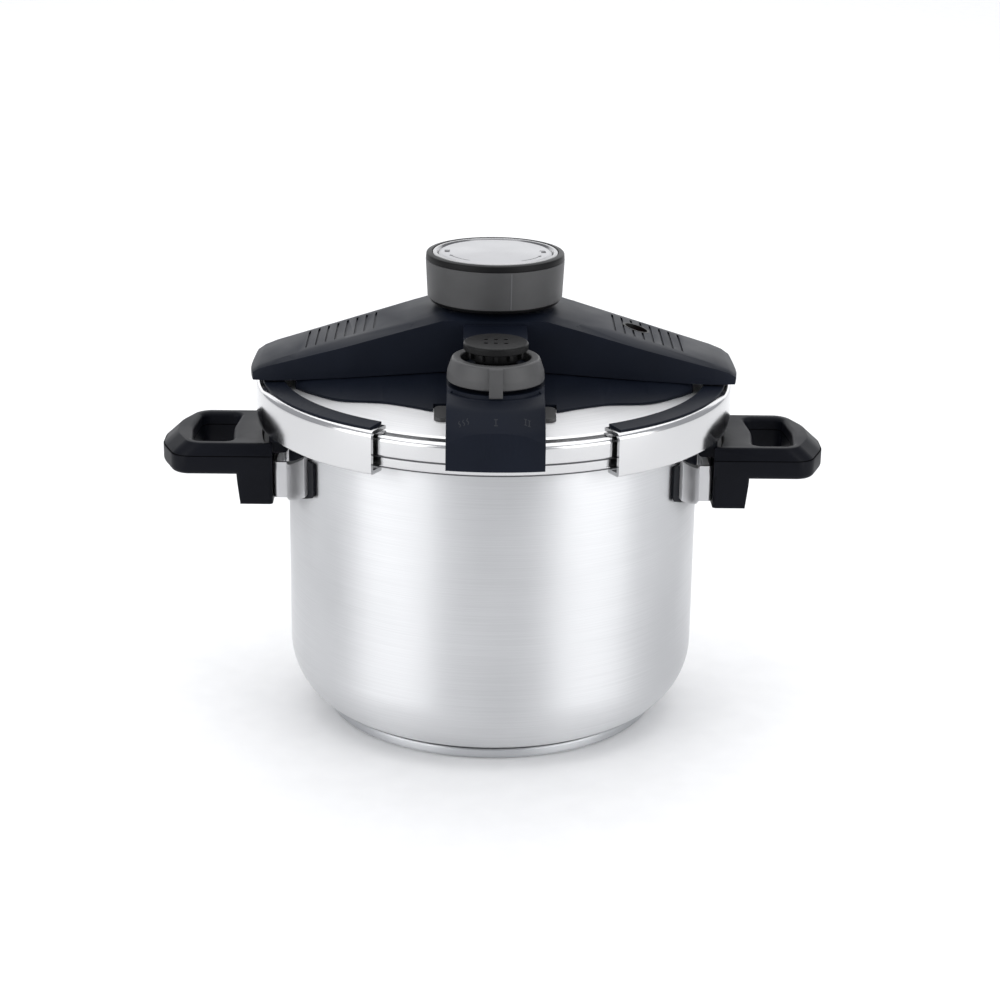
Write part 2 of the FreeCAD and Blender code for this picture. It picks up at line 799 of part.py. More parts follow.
def make_bridge_cover():
    """The raised arm: hollow, bevelled, with grip grooves, a sight hole and screw bosses."""
    body = new_body("bridge_cover")
    sections = [(station[0] * arm_reach / 130.4, arm_section(station)) for station in ARM_STATIONS]
    half = lofted(body, "arm", sections)
    mirrored(body, "arm_both", [half], "YZ")
    groove(body, "arm_ends", [(arm_reach, 180.0), (arm_reach + 12, 180.0),
                              (arm_reach + 12, 235.0), (arm_reach, 235.0)])
    hollow = [(station[0], arm_section(station, number(arm_wall))) for station in ARM_STATIONS[:6]]
    x, *rest = ARM_STATIONS[7]
    hollow.append((x - 1.0, arm_section((x, *rest), number(arm_wall))))
    inner_half = lofted(body, "arm_hollow", hollow, "SubtractiveLoft")
    mirrored(body, "arm_hollow_both", [inner_half], "YZ")
    bosses = [place + (4.5,) for place in arm_screw_places()]
    slab(body, "screw_bosses", "XY", bosses, 195.8, 220.6)
    pilots = [place + (1.65,) for place in arm_screw_places()]
    cut(body, "boss_pilots", "XY", pilots, 190.0, 210.0)
    first_groove, groove_pitch, groove_half_width, groove_depth = 64.0, 5.14, 0.55, 0.9
    near_x, near_top, slope = 32.0, 224.8, 0.3058
    grooves = []
    for side in (-1, 1):
        for place in range(8):
            x = first_groove + groove_pitch * place
            surface = near_top - (x - near_x) * slope
            grooves.append(box_outline(side * x - groove_half_width, side * x + groove_half_width,
                                       surface - groove_depth, surface + 4.0))
    cut(body, "grip_grooves", "XZ", grooves, -16.0, 18.5)
    openings = [(0, 0, spindle_radius + 1), (indicator_x, indicator_y, 6.3)]
    cut(body, "arm_openings", "XY", openings, 198.0, 235.0)


# Stations along the base of the arm: x, half width at the lid, height of the thin outer edge,
# half width of the level top, height of the level top.
BASE_STATIONS = [
    (0, 76.0, 188.0, 31.0, 196.8),
    (31.0, 74.0, 187.9, 31.0, 196.1),
    (41.5, 68.0, 187.8, 31.0, 195.3),
    (57.0, 60.0, 187.7, 30.8, 194.0),
    (80.7, 54.0, 187.2, 30.2, 191.9),
    (98.0, 38.0, 186.7, 28.4, 190.3),
    (105.0, 28.5, 186.3, 26.5, 189.2),
]


def make_bridge_base():
    """Leaf-shaped cover between the arm and the lid, with the slot that the racks run in."""
    body = new_body("bridge_base")
    sections = []
    for x, foot, edge, top_width, top in BASE_STATIONS:
        sections.append((x, [(-foot, 182.0), (foot, 182.0), (foot, edge),
                             (top_width, top), (-top_width, top), (-foot, edge)]))
    half = lofted(body, "leaf", sections)
    mirrored(body, "leaf_both", [half], "YZ")
    groove(body, "leaf_underside", below_lid())
    slot = box_outline(-108.0, 108.0, -slot_half_width, slot_half_width)
    cut(body, "rack_slot", "XY", [slot], 180.0, 195.0)
    cut(body, "spindle_hole", "XY", [(0, 0, spindle_radius + 1.6)], 190.0, 200.0)
    tower_gap = tower_half_width + 0.15
    neck_gap = neck_half_width + 0.2
    plate_gap = plate_half_width + 0.6
    gaps = {
        "tower_gap": box_outline(-tower_gap, tower_gap, -plate_front, -tower_back + 0.1),
        "neck_gap": box_outline(-neck_gap, neck_gap, -tower_back - 1.2, -neck_back + 0.4),
        "plate_gap": box_outline(-plate_gap, plate_gap, -plate_front, -plate_back + 0.3),
    }
    for name, outline in gaps.items():
        cut(body, name, "XY", [outline], 180.0, 200.0)
    heads = [place + (3.7,) for place in arm_screw_places()]
    cut(body, "head_bores", "XY", heads, 180.0, 190.6)
    shanks = [place + (1.75,) for place in arm_screw_places()]
    cut(body, "shank_bores", "XY", shanks, 180.0, 200.0)


def make_cover_screws():
    """Screws that clamp the base to the arm from below."""
    screws = []
    for place, (x, y) in enumerate(arm_screw_places()):
        head = cylinder("cover_screw_head_%d" % place, 3.4, 188.1, 2.4, x, y)
        shank = cylinder("cover_screw_shank_%d" % place, 1.6, 190.0, 18.0, x, y)
        screws.append(boolean("Fuse", "cover_screw_%d" % place, head, shank))
    group("cover_screws", screws)


def make_guide_plate():
    """Steel channel that the racks slide in."""
    body = new_body("guide_plate")
    low, floor, lip = lid_crown + 0.1, lid_crown + 1.6, rack_bottom + rack_height + 0.6
    slab(body, "channel", "YZ", [[
        (-17.5, low), (17.5, low), (17.5, lip), (16.5, lip), (16.5, floor, 0.4),
        (-16.5, floor, 0.4), (-16.5, lip), (-17.5, lip),
    ]], -62.0, 62.0)
    cut(body, "stud_hole", "XY", [(0, 0, stud_radius)], 180.0, 195.0)


def make_centre_stud():
    """Shouldered stud that holds the guide plate and carries the pinion."""
    body = new_body("centre_stud")
    shoulder = lid_crown + 1.65
    turned(body, "stud", [
        (0, 181.5),
        (stud_radius - 0.1, 181.5),
        (stud_radius - 0.1, shoulder),
        (7.0, shoulder),
        (7.0, shoulder + 0.9),
        (3.0, shoulder + 0.9),
        (3.0, spindle_bottom + 4.95, 0.6),
        (0, spindle_bottom + 4.95),
    ])
    nut("centre_nut", 16.0, stud_radius - 0.05, 183.4, 3.6)


# ---------------------------------------------------------------- clamp: knob, pinion, racks, jaws
bearing_radius = driving("bearing_radius", 3.06)
tooth_half = driving("tooth_half_thickness", 0.66)


def make_drive_pinion():
    """Eighteen straight-flanked teeth on a hub that turns on the centre stud."""
    body = new_body("drive_pinion")
    top = rack_bottom + rack_height
    root = pitch_radius - 1.25 * tooth_module
    slab(body, "pinion_core", "XY", [(0, 0, root)], rack_bottom, spindle_bottom - 0.05)
    flank = math.tan(math.radians(pressure_angle))
    tooth = slab(body, "pinion_tooth", "XY", [[
        (root - 0.6, -tooth_half - 1.5 * flank),
        (pitch_radius + tooth_module, -tooth_half + 0.9 * flank),
        (pitch_radius + tooth_module, tooth_half - 0.9 * flank),
        (root - 0.6, tooth_half + 1.5 * flank),
    ]], rack_bottom, top)
    around(body, "pinion_teeth", [tooth], pinion_teeth)
    cut(body, "pinion_bore", "XY", [(0, 0, bearing_radius)], 185.0, 205.0)


def make_rack_bar(name, side):
    """Rack from the pinion to the jaw, stepped down where it leaves the arm.

    The right rack runs in front of the pinion and the left one behind it.
    """
    body = new_body(name + "_rack_bar")
    top = rack_bottom + rack_height
    tail_low, tail_high = jaw_top + 0.05, jaw_top + 1.85
    root_y = pitch_radius + 1.25 * tooth_module
    low_y, high_y = (-rack_back, -root_y) if side > 0 else (root_y, rack_back)
    slab(body, name + "_bar", "XZ", [[
        (side * -rack_end, rack_bottom),
        (side * 97.0, rack_bottom, 2.0),
        (side * 102.5, tail_low, 3.0),
        (side * tail_end, tail_low),
        (side * tail_end, tail_high),
        (side * 104.0, tail_high, 2.0),
        (side * 99.0, top, 3.0),
        (side * -rack_end, top),
    ]], low_y, high_y)
    slab(body, name + "_tail", "XY",
         [box_outline(*span(side, 106.0, tail_end), -rack_back, rack_back, 1.5)], tail_low, tail_high)
    flank = math.tan(math.radians(pressure_angle))
    reach = pitch_radius - 0.95 * tooth_module
    teeth = []
    for place in range(-6, 3):
        x = side * place * math.pi * tooth_module
        teeth.append([
            (x - tooth_half - 1.3 * flank, -side * (root_y + 0.3)),
            (x + tooth_half + 1.3 * flank, -side * (root_y + 0.3)),
            (x + tooth_half - 0.9 * flank, -side * reach),
            (x - tooth_half + 0.9 * flank, -side * reach),
        ])
    slab(body, name + "_teeth", "XY", teeth, rack_bottom, top)
    rivets = [(side * rivet_x, y, rivet_hole) for y in (-rivet_y, rivet_y)]
    cut(body, name + "_rivet_holes", "XY", rivets, 180.0, 192.0)


def make_jaw(name, side):
    """C-section arc that hooks over the lid and under the pot's rim."""
    body = new_body(name + "_jaw")
    inner = jaw_radius - jaw_steel
    turned(body, name + "_jaw_arc", [
        (side * jaw_flange_radius, jaw_top),
        (side * jaw_radius, jaw_top, 3.0),
        (side * jaw_radius, jaw_bottom, 1.8),
        (side * jaw_lip_radius, jaw_bottom),
        (side * jaw_lip_radius, jaw_bottom + jaw_steel),
        (side * inner, jaw_bottom + jaw_steel, 0.6),
        (side * inner, jaw_top - jaw_steel, 1.2),
        (side * jaw_flange_radius, jaw_top - jaw_steel),
    ], jaw_span)
    rivets = [(side * rivet_x, y, rivet_hole) for y in (-rivet_y, rivet_y)]
    cut(body, name + "_jaw_holes", "XY", rivets, 180.0, 192.0)


def make_jaw_cover(name, side):
    """Crescent trim on top of the jaw, notched for the tail of the rack bar."""
    body = new_body(name + "_jaw_cover")
    low = jaw_top + 0.05
    turned(body, name + "_crescent", [
        (side * (jaw_flange_radius + 0.1), low),
        (side * 124.6, low),
        (side * 124.6, low + 0.9, 0.6),
        (side * (jaw_flange_radius + 0.1), low + 1.6, 0.6),
    ], jaw_span - 2.4)
    low_x, high_x = span(side, 100.0, 122.25)
    cut(body, name + "_tail_notch", "XY", [box_outline(low_x, high_x, -16.6, 16.6)], 180.0, 195.0)


def make_jaw_rivets(name, side):
    rivets = []
    for place, y in enumerate((-rivet_y, rivet_y)):
        x = side * rivet_x
        shank = cylinder("%s_rivet_shank_%d" % (name, place), 2.0, jaw_top - jaw_steel - 0.9, 5.0, x, y)
        foot = cylinder("%s_rivet_foot_%d" % (name, place), 3.0, jaw_top - jaw_steel - 0.95, 0.9, x, y)
        rivets.append(boolean("Fuse", "%s_rivet_%d" % (name, place), shank, foot))
    group(name + "_jaw_rivets", rivets)


def make_spindle():
    """Hollow shaft from the pinion up into the knob."""
    body = new_body("drive_spindle")
    bore = bearing_radius
    shoulder = knob_bottom + 2.95
    turned(body, "spindle", [
        (bore, spindle_bottom),
        (spindle_radius, spindle_bottom),
        (spindle_radius, shoulder),
        (spindle_neck, shoulder),
        (spindle_neck, spindle_top - 0.1),
        (3.0, spindle_top - 0.1),
        (3.0, knob_bottom - 1),
        (0, knob_bottom - 1),
        (0, spindle_bottom + 6),
        (bore, spindle_bottom + 6),
    ])


def make_knob():
    """Turning knob: cup-shaped body, two trim rings, bezel, disc and the screw under it."""
    body = new_body("knob_body")
    low = knob_bottom + 3
    turned(body, "knob", [
        (spindle_neck + 0.05, low),
        (knob_radius - 1, low),
        (knob_radius, knob_top),
        (knob_radius - 3.2, knob_top),
        (knob_radius - 3.6, low + 3, 1.5),
        (11.0, low + 3, 1.0),
        (11.0, spindle_top),
        (spindle_neck + 0.05, spindle_top),
    ])
    lower = new_body("knob_lower_trim")
    turned(lower, "lower_trim", [
        (8.0, knob_bottom), (knob_radius - 2.8, knob_bottom, 1.5), (knob_radius - 1.5, low - 0.05),
        (8.0, low - 0.05),
    ])
    upper = new_body("knob_upper_trim")
    turned(upper, "upper_trim", [
        (knob_radius - 3.4, knob_top + 0.05), (knob_radius - 0.1, knob_top + 0.05),
        (knob_radius - 0.5, knob_top + 2.0, 1.0), (knob_radius - 3.4, knob_top + 2.4, 0.5),
    ])
    bezel = new_body("knob_bezel")
    turned(bezel, "bezel", [
        (knob_radius - 6.6, knob_top - 1.2), (knob_radius - 3.5, knob_top - 1.2),
        (knob_radius - 3.5, knob_top + 3.0, 0.9), (knob_radius - 5.6, knob_top + 3.2, 0.6),
        (knob_radius - 6.6, knob_top + 1.9),
    ])
    disc = new_body("knob_disc")
    turned(disc, "disc", [
        (0, knob_top - 0.4), (knob_radius - 6.7, knob_top - 0.4), (knob_radius - 6.7, knob_top + 2.2, 0.5),
        (knob_radius - 8.2, knob_top + 3.1, 1.0), (0, knob_top + 3.3),
    ])
    screw = new_body("knob_screw")
    turned(screw, "screw", [
        (0, knob_bottom - 0.4),
        (2.95, knob_bottom - 0.4),
        (2.95, spindle_top + 0.05),
        (8.0, spindle_top + 0.05),
        (8.0, spindle_top + 3, 0.6),
        (0, spindle_top + 3),
    ])


# ---------------------------------------------------------------- working valve
def make_valve_housing():
    """Front tower: neck from the arm, seat for the selector and an apron over the lid's edge."""
    body = new_body("valve_housing")
    width = tower_half_width
    front = -tower_front - 1
    slab(body, "tower", "YZ", [[
        (-tower_back, 180.0),
        (-tower_back, tower_roof),
        (front, tower_roof),
        (front, tower_bottom),
        (-121.0, tower_bottom),
        (-121.0, 180.0),
    ]], -width, width)
    groove(body, "tower_slope", [
        (-24.9, tower_roof),
        (-26.4, tower_roof - 2.2, 2.0),
        (-33.5, tower_roof - 5.2, 12.0),
        (-44.0, 191.4, 20.0),
        (-60.0, 168.0),
        (-60.0, tower_roof + 4),
        (-24.9, tower_roof + 4),
    ], 178.0, "YZ", valve_y)
    rounded(body, "tower_side_edges", 1.6, tower_side_edge)
    slab(body, "neck", "YZ", [[
        (-neck_back, 190.0),
        (-neck_back, 222.6, 1.5),
        (-tower_back + 2.3, 221.6, 2.5),
        (-tower_back - 0.1, 215.0),
        (-tower_back - 0.1, 190.0),
    ]], -neck_half_width, neck_half_width)
    joint = box_outline(-neck_half_width, neck_half_width, -64.0, -55.0)
    slab(body, "joint", "XY", [joint], 190.0, tower_roof)
    clear_of_lid = lid_radius + 0.5
    below = [(clear_of_lid, lid_shoulder + 0.1, 2.8), (clear_of_lid, 165.0), (0, 165.0)]
    groove(body, "lid_clearance", lid_surface(0.1) + below)
    groove(body, "apron_front", [(tower_front, 160.0), (tower_front + 8, 160.0),
                                 (tower_front + 8, 220.0), (tower_front, 220.0)])
    groove(body, "pointer_track", [(-25.2, 204.0), (-36.0, 204.0), (-36.0, 212.0), (-25.2, 212.0)],
           120.0, "YZ", valve_y)
    slab(body, "collar", "XY", [(0, valve_y, collar_radius)], tower_roof - 2, 215.0)
    shelf = tower_half_width + 0.1
    recess = box_outline(-shelf, shelf, -plate_back - 6.1, -plate_back + 0.1)
    cut(body, "plate_recess", "XY", [recess], 180.0, plate_top + 0.1)
    cut(body, "valve_bore", "XY", [(0, valve_y, 9.2)], 180.0, tower_roof + 0.05)
    cut(body, "spring_bore", "XY", [(0, valve_y, 11.2)], tower_roof, 216.0)


def tower_side_edge(edge):
    """Edges where the tower's slope meets its two sides."""
    box = edge.BoundBox
    at_side = abs(abs(box.XMin) - number(tower_half_width)) < 0.01 and box.XLength < 0.01
    return at_side and box.YMax < number(valve_y) - 1 and box.ZMin > 185.0 and box.YLength > 0.5


def make_valve_plate():
    """Thin plate between the tower and the lid, showing on both sides."""
    body = new_body("valve_base_plate")
    outline = box_outline(-plate_half_width, plate_half_width, -plate_front, -plate_back, 4.0)
    slab(body, "plate", "XY", [outline], 183.0, plate_top)
    groove(body, "plate_underside", below_lid())
    gap = tower_half_width + 0.1
    front_gap = box_outline(-gap, gap, -plate_front - 5, -plate_back - 6)
    cut(body, "plate_gap", "XY", [front_gap], 180.0, 195.0)


def make_selector_ring():
    """Turning collar with a pointer rib, carried on the housing's collar."""
    body = new_body("selector_ring")
    turned(body, "ring", [
        (collar_radius + 0.06, ring_bottom),
        (ring_radius, ring_bottom, 0.8),
        (ring_radius - 0.3, ring_bottom + 4.5, 6.0),
        (ring_radius - 2.7, ring_top, 1.6),
        (collar_radius - 0.4, ring_top, 0.8),
        (collar_radius - 0.4, 215.5),
        (collar_radius + 0.06, 215.5),
    ])
    slab(body, "pointer", "YZ", [[
        (-19.0, ring_top - 0.4),
        (-22.6, ring_top - 0.4, 2.0),
        (-25.9, ring_bottom + 4.0, 4.0),
        (-26.6, 204.9, 0.8),
        (-25.6, 204.9),
        (-24.4, ring_bottom, 0.4),
        (-20.0, ring_bottom + 0.4),
    ]], -3.4, 3.4)
    stand_at(body, 0, valve_y)


def make_valve_body():
    """Valve body through the lid, its seal and its nut."""
    body = new_body("valve_body")
    turned(body, "valve_tube", [
        (2.6, 179.5),
        (valve_hole - 0.1, 179.5),
        (valve_hole - 0.1, 186.65),
        (9.1, 186.65),
        (9.1, tower_roof),
        (6.5, tower_roof),
        (6.5, 212.0, 0.5),
        (2.6, 212.0),
    ])
    stand_at(body, 0, valve_y)
    seal = new_body("valve_seal")
    turned(seal, "seal", [
        (valve_hole - 0.05, 183.6),
        (10.5, 183.6),
        (10.5, 184.5),
        (valve_hole - 0.05, 184.5),
    ])
    stand_at(seal, 0, valve_y)
    nut("valve_nut", 22.0, valve_hole - 0.05, 180.4, 3.15, 0, valve_y)


def make_valve_cap():
    """Pressing cap with a finned neck and vent holes, the stem that it moves and its spring."""
    cap = new_body("valve_cap")
    turned(cap, "cap_core", [
        (0, 214.25),
        (7.2, 214.25),
        (7.2, 215.3),
        (10.5, 215.3),
        (10.5, 219.0),
        (13.0, 219.0),
        (13.0, cap_top - 4.0),
        (cap_radius - 0.3, cap_top - 4.0, 0.7),
        (cap_radius, cap_top, 1.2),
        (0, cap_top),
    ])
    fin = slab(cap, "fin", "XY", [box_outline(12.0, 15.2, -0.9, 0.9)], 220.4, cap_top - 3.5)
    around(cap, "fins", [fin], 12)
    vents = [(x, y, 1.1) for x in (-5.0, 0, 5.0) for y in (-3.6, 3.6)]
    cut(cap, "vents", "XY", vents, cap_top - 1.6, cap_top)
    stand_at(cap, 0, valve_y)
    stem = new_body("valve_stem")
    turned(stem, "needle", [
        (0, 184.0),
        (1.2, 186.0),
        (2.54, 187.0),
        (2.54, 213.0),
        (7.0, 213.0),
        (7.0, 214.2),
        (0, 214.2),
    ])
    stand_at(stem, 0, valve_y)
    spring = coil("valve_spring", 8.5, 0.45, 206.35, 215.2, 4.0)
    stand_at(spring, 0, valve_y)


# ---------------------------------------------------------------- safety valve and indicator
def make_safety_valve():
    """Spring-loaded relief valve on the lid, under the arm."""
    body = new_body("safety_valve_body")
    turned(body, "safety_cup", [
        (1.58, 180.5),
        (safety_hole - 0.1, 180.5),
        (safety_hole - 0.1, 186.9),
        (7.5, 186.9),
        (7.5, 190.0),
        (6.2, 190.0),
        (6.2, 197.0),
        (5.3, 197.0),
        (5.3, 188.5),
        (1.58, 188.5),
    ])
    cap = new_body("safety_valve_cap")
    turned(cap, "safety_lid", [(1.5, 197.05), (6.2, 197.05), (6.2, 198.8, 0.6), (1.5, 198.8)])
    plug = new_body("safety_valve_plug")
    turned(plug, "safety_pin", [
        (0, 182.0),
        (1.5, 182.0),
        (1.5, 188.8),
        (4.4, 188.8),
        (4.4, 190.0),
        (0, 190.0),
    ])
    spring = coil("safety_valve_spring", 3.4, 0.4, 190.05, 196.95, 4.0)
    for piece in (body, cap, plug, spring):
        stand_at(piece, safety_x)
    nut("safety_valve_nut", 15.0, safety_hole - 0.05, 181.6, 3.6, safety_x)


def make_indicator():
    """Pressure indicator pin in a soft bush, seen through the hole in the arm."""
    pin = new_body("indicator_pin")
    turned(pin, "indicator", [
        (0, 177.5),
        (3.6, 177.5),
        (3.6, 179.0),
        (2.0, 179.0),
        (2.0, 188.8),
        (3.6, 188.8),
        (3.6, 190.0),
        (2.4, 190.0),
        (2.4, 204.0),
        (4.4, 204.4),
        (4.4, 206.6, 1.0),
        (0, 206.6),
    ])
    foot = new_body("indicator_seal")
    turned(foot, "foot_ring", [(2.05, 179.05), (3.5, 179.05, 0.3), (3.5, 179.95, 0.3), (2.05, 179.95)])
    bush = new_body("indicator_bush")
    neck = indicator_hole - 0.05
    turned(bush, "bush", [
        (2.08, 183.5),
        (5.5, 183.5, 0.5),
        (5.5, 185.2),
        (neck, 185.2),
        (neck, 186.8),
        (5.5, 186.8),
        (5.5, 188.4, 0.5),
        (2.08, 188.4),
    ])
    for piece in (pin, foot, bush):
        stand_at(piece, indicator_x, indicator_y)


def make_everything():
    make_pot_shell()
    make_base()
    for name, side in (("left", -1), ("right", 1)):
        make_pad(name, side)
        make_weld_studs(name, side)
        make_bracket(name, side)
        make_handle(name, side)
        make_handle_screws(name, side)
        make_rack_bar(name, side)
        make_jaw(name, side)
        make_jaw_cover(name, side)
        make_jaw_rivets(name, side)
    make_lid_pan()
    make_gasket()
    make_bridge_cover()
    make_bridge_base()
    make_cover_screws()
    make_guide_plate()
    make_centre_stud()
    make_drive_pinion()
    make_spindle()
    make_knob()
    make_valve_housing()
    make_valve_plate()
    make_selector_ring()
    make_valve_body()
    make_valve_cap()
    make_safety_valve()
    make_indicator()


def check_and_write():
    """Stop on any failed object or bad shape, then write one STEP file for each sub-part."""
    doc.recompute()
    for item in doc.Objects:
        if {"Invalid", "Error"} & set(item.State):
            raise RuntimeError("%s is %s" % (item.Label, item.State))
    for piece in sub_parts:
        if piece.Shape.isNull() or not piece.Shape.isValid():
            raise RuntimeError("%s has no valid shape" % piece.Label)
    os.makedirs("parts", exist_ok=True)
    for piece in sub_parts:
        piece.Shape.exportStep("parts/%s.step" % piece.Label)
        print("%-24s %2d solids %10.1f mm3" % (piece.Label, len(piece.Shape.Solids), piece.Shape.Volume))


make_everything()
check_and_write()
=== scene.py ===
"""Looks of the stovetop pressure cooker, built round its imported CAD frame.

Lengths in the outlines are millimetres in the frame's own axes; SCALE turns them into metres.
"""
import json
import math

import bmesh
import bpy
from mathutils import Matrix, Vector
from mathutils.bvhtree import BVHTree

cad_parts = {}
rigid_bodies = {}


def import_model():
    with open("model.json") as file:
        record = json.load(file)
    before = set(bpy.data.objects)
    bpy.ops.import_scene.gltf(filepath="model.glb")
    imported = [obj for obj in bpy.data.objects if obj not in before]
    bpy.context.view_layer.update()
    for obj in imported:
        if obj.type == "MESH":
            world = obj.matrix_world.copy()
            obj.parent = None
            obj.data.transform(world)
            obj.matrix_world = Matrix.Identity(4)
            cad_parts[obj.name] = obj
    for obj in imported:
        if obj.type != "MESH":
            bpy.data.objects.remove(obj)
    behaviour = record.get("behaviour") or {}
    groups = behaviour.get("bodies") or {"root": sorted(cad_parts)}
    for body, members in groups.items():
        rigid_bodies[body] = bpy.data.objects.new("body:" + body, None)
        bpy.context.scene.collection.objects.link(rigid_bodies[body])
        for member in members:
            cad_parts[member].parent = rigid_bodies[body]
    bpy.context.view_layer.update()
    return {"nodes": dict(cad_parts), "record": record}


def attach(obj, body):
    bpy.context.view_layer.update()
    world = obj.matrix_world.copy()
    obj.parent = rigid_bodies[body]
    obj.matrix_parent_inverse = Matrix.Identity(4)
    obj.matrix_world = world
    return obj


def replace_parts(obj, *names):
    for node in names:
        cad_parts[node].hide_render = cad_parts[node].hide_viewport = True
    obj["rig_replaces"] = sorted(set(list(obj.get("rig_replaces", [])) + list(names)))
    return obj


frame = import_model()

SCALE = 0.001
MERGE = 0.0000001  # metres; points closer than this are one

# Outline sizes in millimetres: pot and its rim
POT_RADIUS = 111.0
POT_STEEL = 1.0
POT_BOTTOM = 5.8
WALL_TOP = 167.0
RIM_RADIUS = 121.8
RIM_BOTTOM = 167.7
RIM_TOP = 174.6
BASE_RADIUS = 90.8
BASE_STEEL = 0.8
# lid
LID_RADIUS = 123.3
LID_STEEL = 1.1
LID_CROWN = 188.3
LID_SHOULDER = 184.0
LID_SKIRT_BOTTOM = 173.6
DOME_RADIUS = 113.4
LID_HOLE = 4.95
# clamp jaws; the sweep is in degrees
JAW_RADIUS = 127.8
JAW_STEEL = 2.0
JAW_TOP = 187.0
JAW_BOTTOM = 164.3
JAW_LIP_REACH = 117.6
JAW_FLANGE_REACH = 113.5
JAW_SWEEP = 122.2
# knob
KNOB_BOTTOM = 228.0
KNOB_SEAM_LOW = 230.0
KNOB_SEAM_HIGH = 250.4
SEAM_GAP = 0.05
DISC_RADIUS = 30.3
ICON_RADIUS = 25.6
# printed marks: how far they stand up, and how far they reach into what carries them
MARK_HEIGHT = 0.05
MARK_ROOT = 0.03
# arm: fall of its top along x, and the place on it where the indicator comes out
ARM_FALL = 0.3045
INDICATOR_PLACE = (76.5, 5.0, 211.44)
# leaf-shaped base under the arm: x and half width at the lid
LEAF_WIDTHS = [(0, 76), (31, 74), (41.5, 68), (57, 60), (80.7, 54), (98, 38), (105, 28.5)]

NODES = frame["nodes"]
BODY_OF = {node: body for body, nodes in frame["record"]["behaviour"]["bodies"].items() for node in nodes}
SLOT_OF = {entry["node"]: entry["material_slot"] for entry in frame["record"]["subparts"]}


# ---------------------------------------------------------------- materials
def shader_graph(name):
    """A new material whose graph is one Principled shader; returns the material, its tree and the shader."""
    material = bpy.data.materials.new(name)
    material.use_nodes = True
    tree = material.node_tree
    tree.nodes.clear()
    output = tree.nodes.new("ShaderNodeOutputMaterial")
    shader = tree.nodes.new("ShaderNodeBsdfPrincipled")
    tree.links.new(shader.outputs["BSDF"], output.inputs["Surface"])
    return material, tree, shader


def add_node(tree, kind, **settings):
    """Add one shader node; each setting is one of its properties or, by name, one of its inputs."""
    node = tree.nodes.new("ShaderNode" + kind)
    for key, value in settings.items():
        if hasattr(node, key):
            setattr(node, key, value)
        else:
            node.inputs[key.replace("_", " ").title()].default_value = value
    return node


def object_noise(tree, stretch, scale, detail=4.0):
    """Noise in object space, stretched along the axes by the given factors."""
    place = add_node(tree, "TexCoord")
    mapping = add_node(tree, "Mapping")
    mapping.inputs["Scale"].default_value = stretch
    tree.links.new(place.outputs["Object"], mapping.inputs["Vector"])
    noise = add_node(tree, "TexNoise", scale=scale, detail=detail)
    tree.links.new(mapping.outputs["Vector"], noise.inputs["Vector"])
    return noise


def turned_coordinates(tree):
    """Radius, angle and height about the vertical axis, as one vector output."""
    place = add_node(tree, "TexCoord")
    split = add_node(tree, "SeparateXYZ")
    tree.links.new(place.outputs["Object"], split.inputs["Vector"])
    angle = add_node(tree, "Math", operation="ARCTAN2")
    tree.links.new(split.outputs["Y"], angle.inputs[0])
    tree.links.new(split.outputs["X"], angle.inputs[1])
    flat = add_node(tree, "CombineXYZ")
    tree.links.new(split.outputs["X"], flat.inputs["X"])
    tree.links.new(split.outputs["Y"], flat.inputs["Y"])
    radius = add_node(tree, "VectorMath", operation="LENGTH")
    tree.links.new(flat.outputs["Vector"], radius.inputs[0])
    turned = add_node(tree, "CombineXYZ")
    tree.links.new(radius.outputs["Value"], turned.inputs["X"])
    tree.links.new(angle.outputs[0], turned.inputs["Y"])
    tree.links.new(split.outputs["Z"], turned.inputs["Z"])
    return turned


def map_range(tree, source, low, high):
    """Spread the middle of a noise over low to high."""
    ranged = add_node(tree, "MapRange")
    ranged.inputs["From Min"].default_value = 0.3
    ranged.inputs["From Max"].default_value = 0.7
    ranged.inputs["To Min"].default_value = low
    ranged.inputs["To Max"].default_value = high
    tree.links.new(source, ranged.inputs["Value"])
    return ranged.outputs["Result"]


def shade(tree, source, dark, light):
    """Colour that runs from dark to light over the middle of a noise."""
    ramp = add_node(tree, "ValToRGB")
    for end, position, colour in zip(ramp.color_ramp.elements, (0.35, 0.65), (dark, light)):
        end.position = position
        end.color = (*colour, 1.0)
    tree.links.new(source, ramp.inputs["Fac"])
    return ramp.outputs["Color"]


def bump(tree, shader, height, distance, strength=1.0):
    """Fine relief on a shader's surface; the distance is in metres."""
    node = add_node(tree, "Bump")
    node.inputs["Distance"].default_value = distance
    node.inputs["Strength"].default_value = strength
    tree.links.new(height, node.inputs["Height"])
    tree.links.new(node.outputs["Normal"], shader.inputs["Normal"])


def tinted(colour, factor):
    """A colour made darker or lighter by a factor."""
    return tuple(channel * factor for channel in colour)


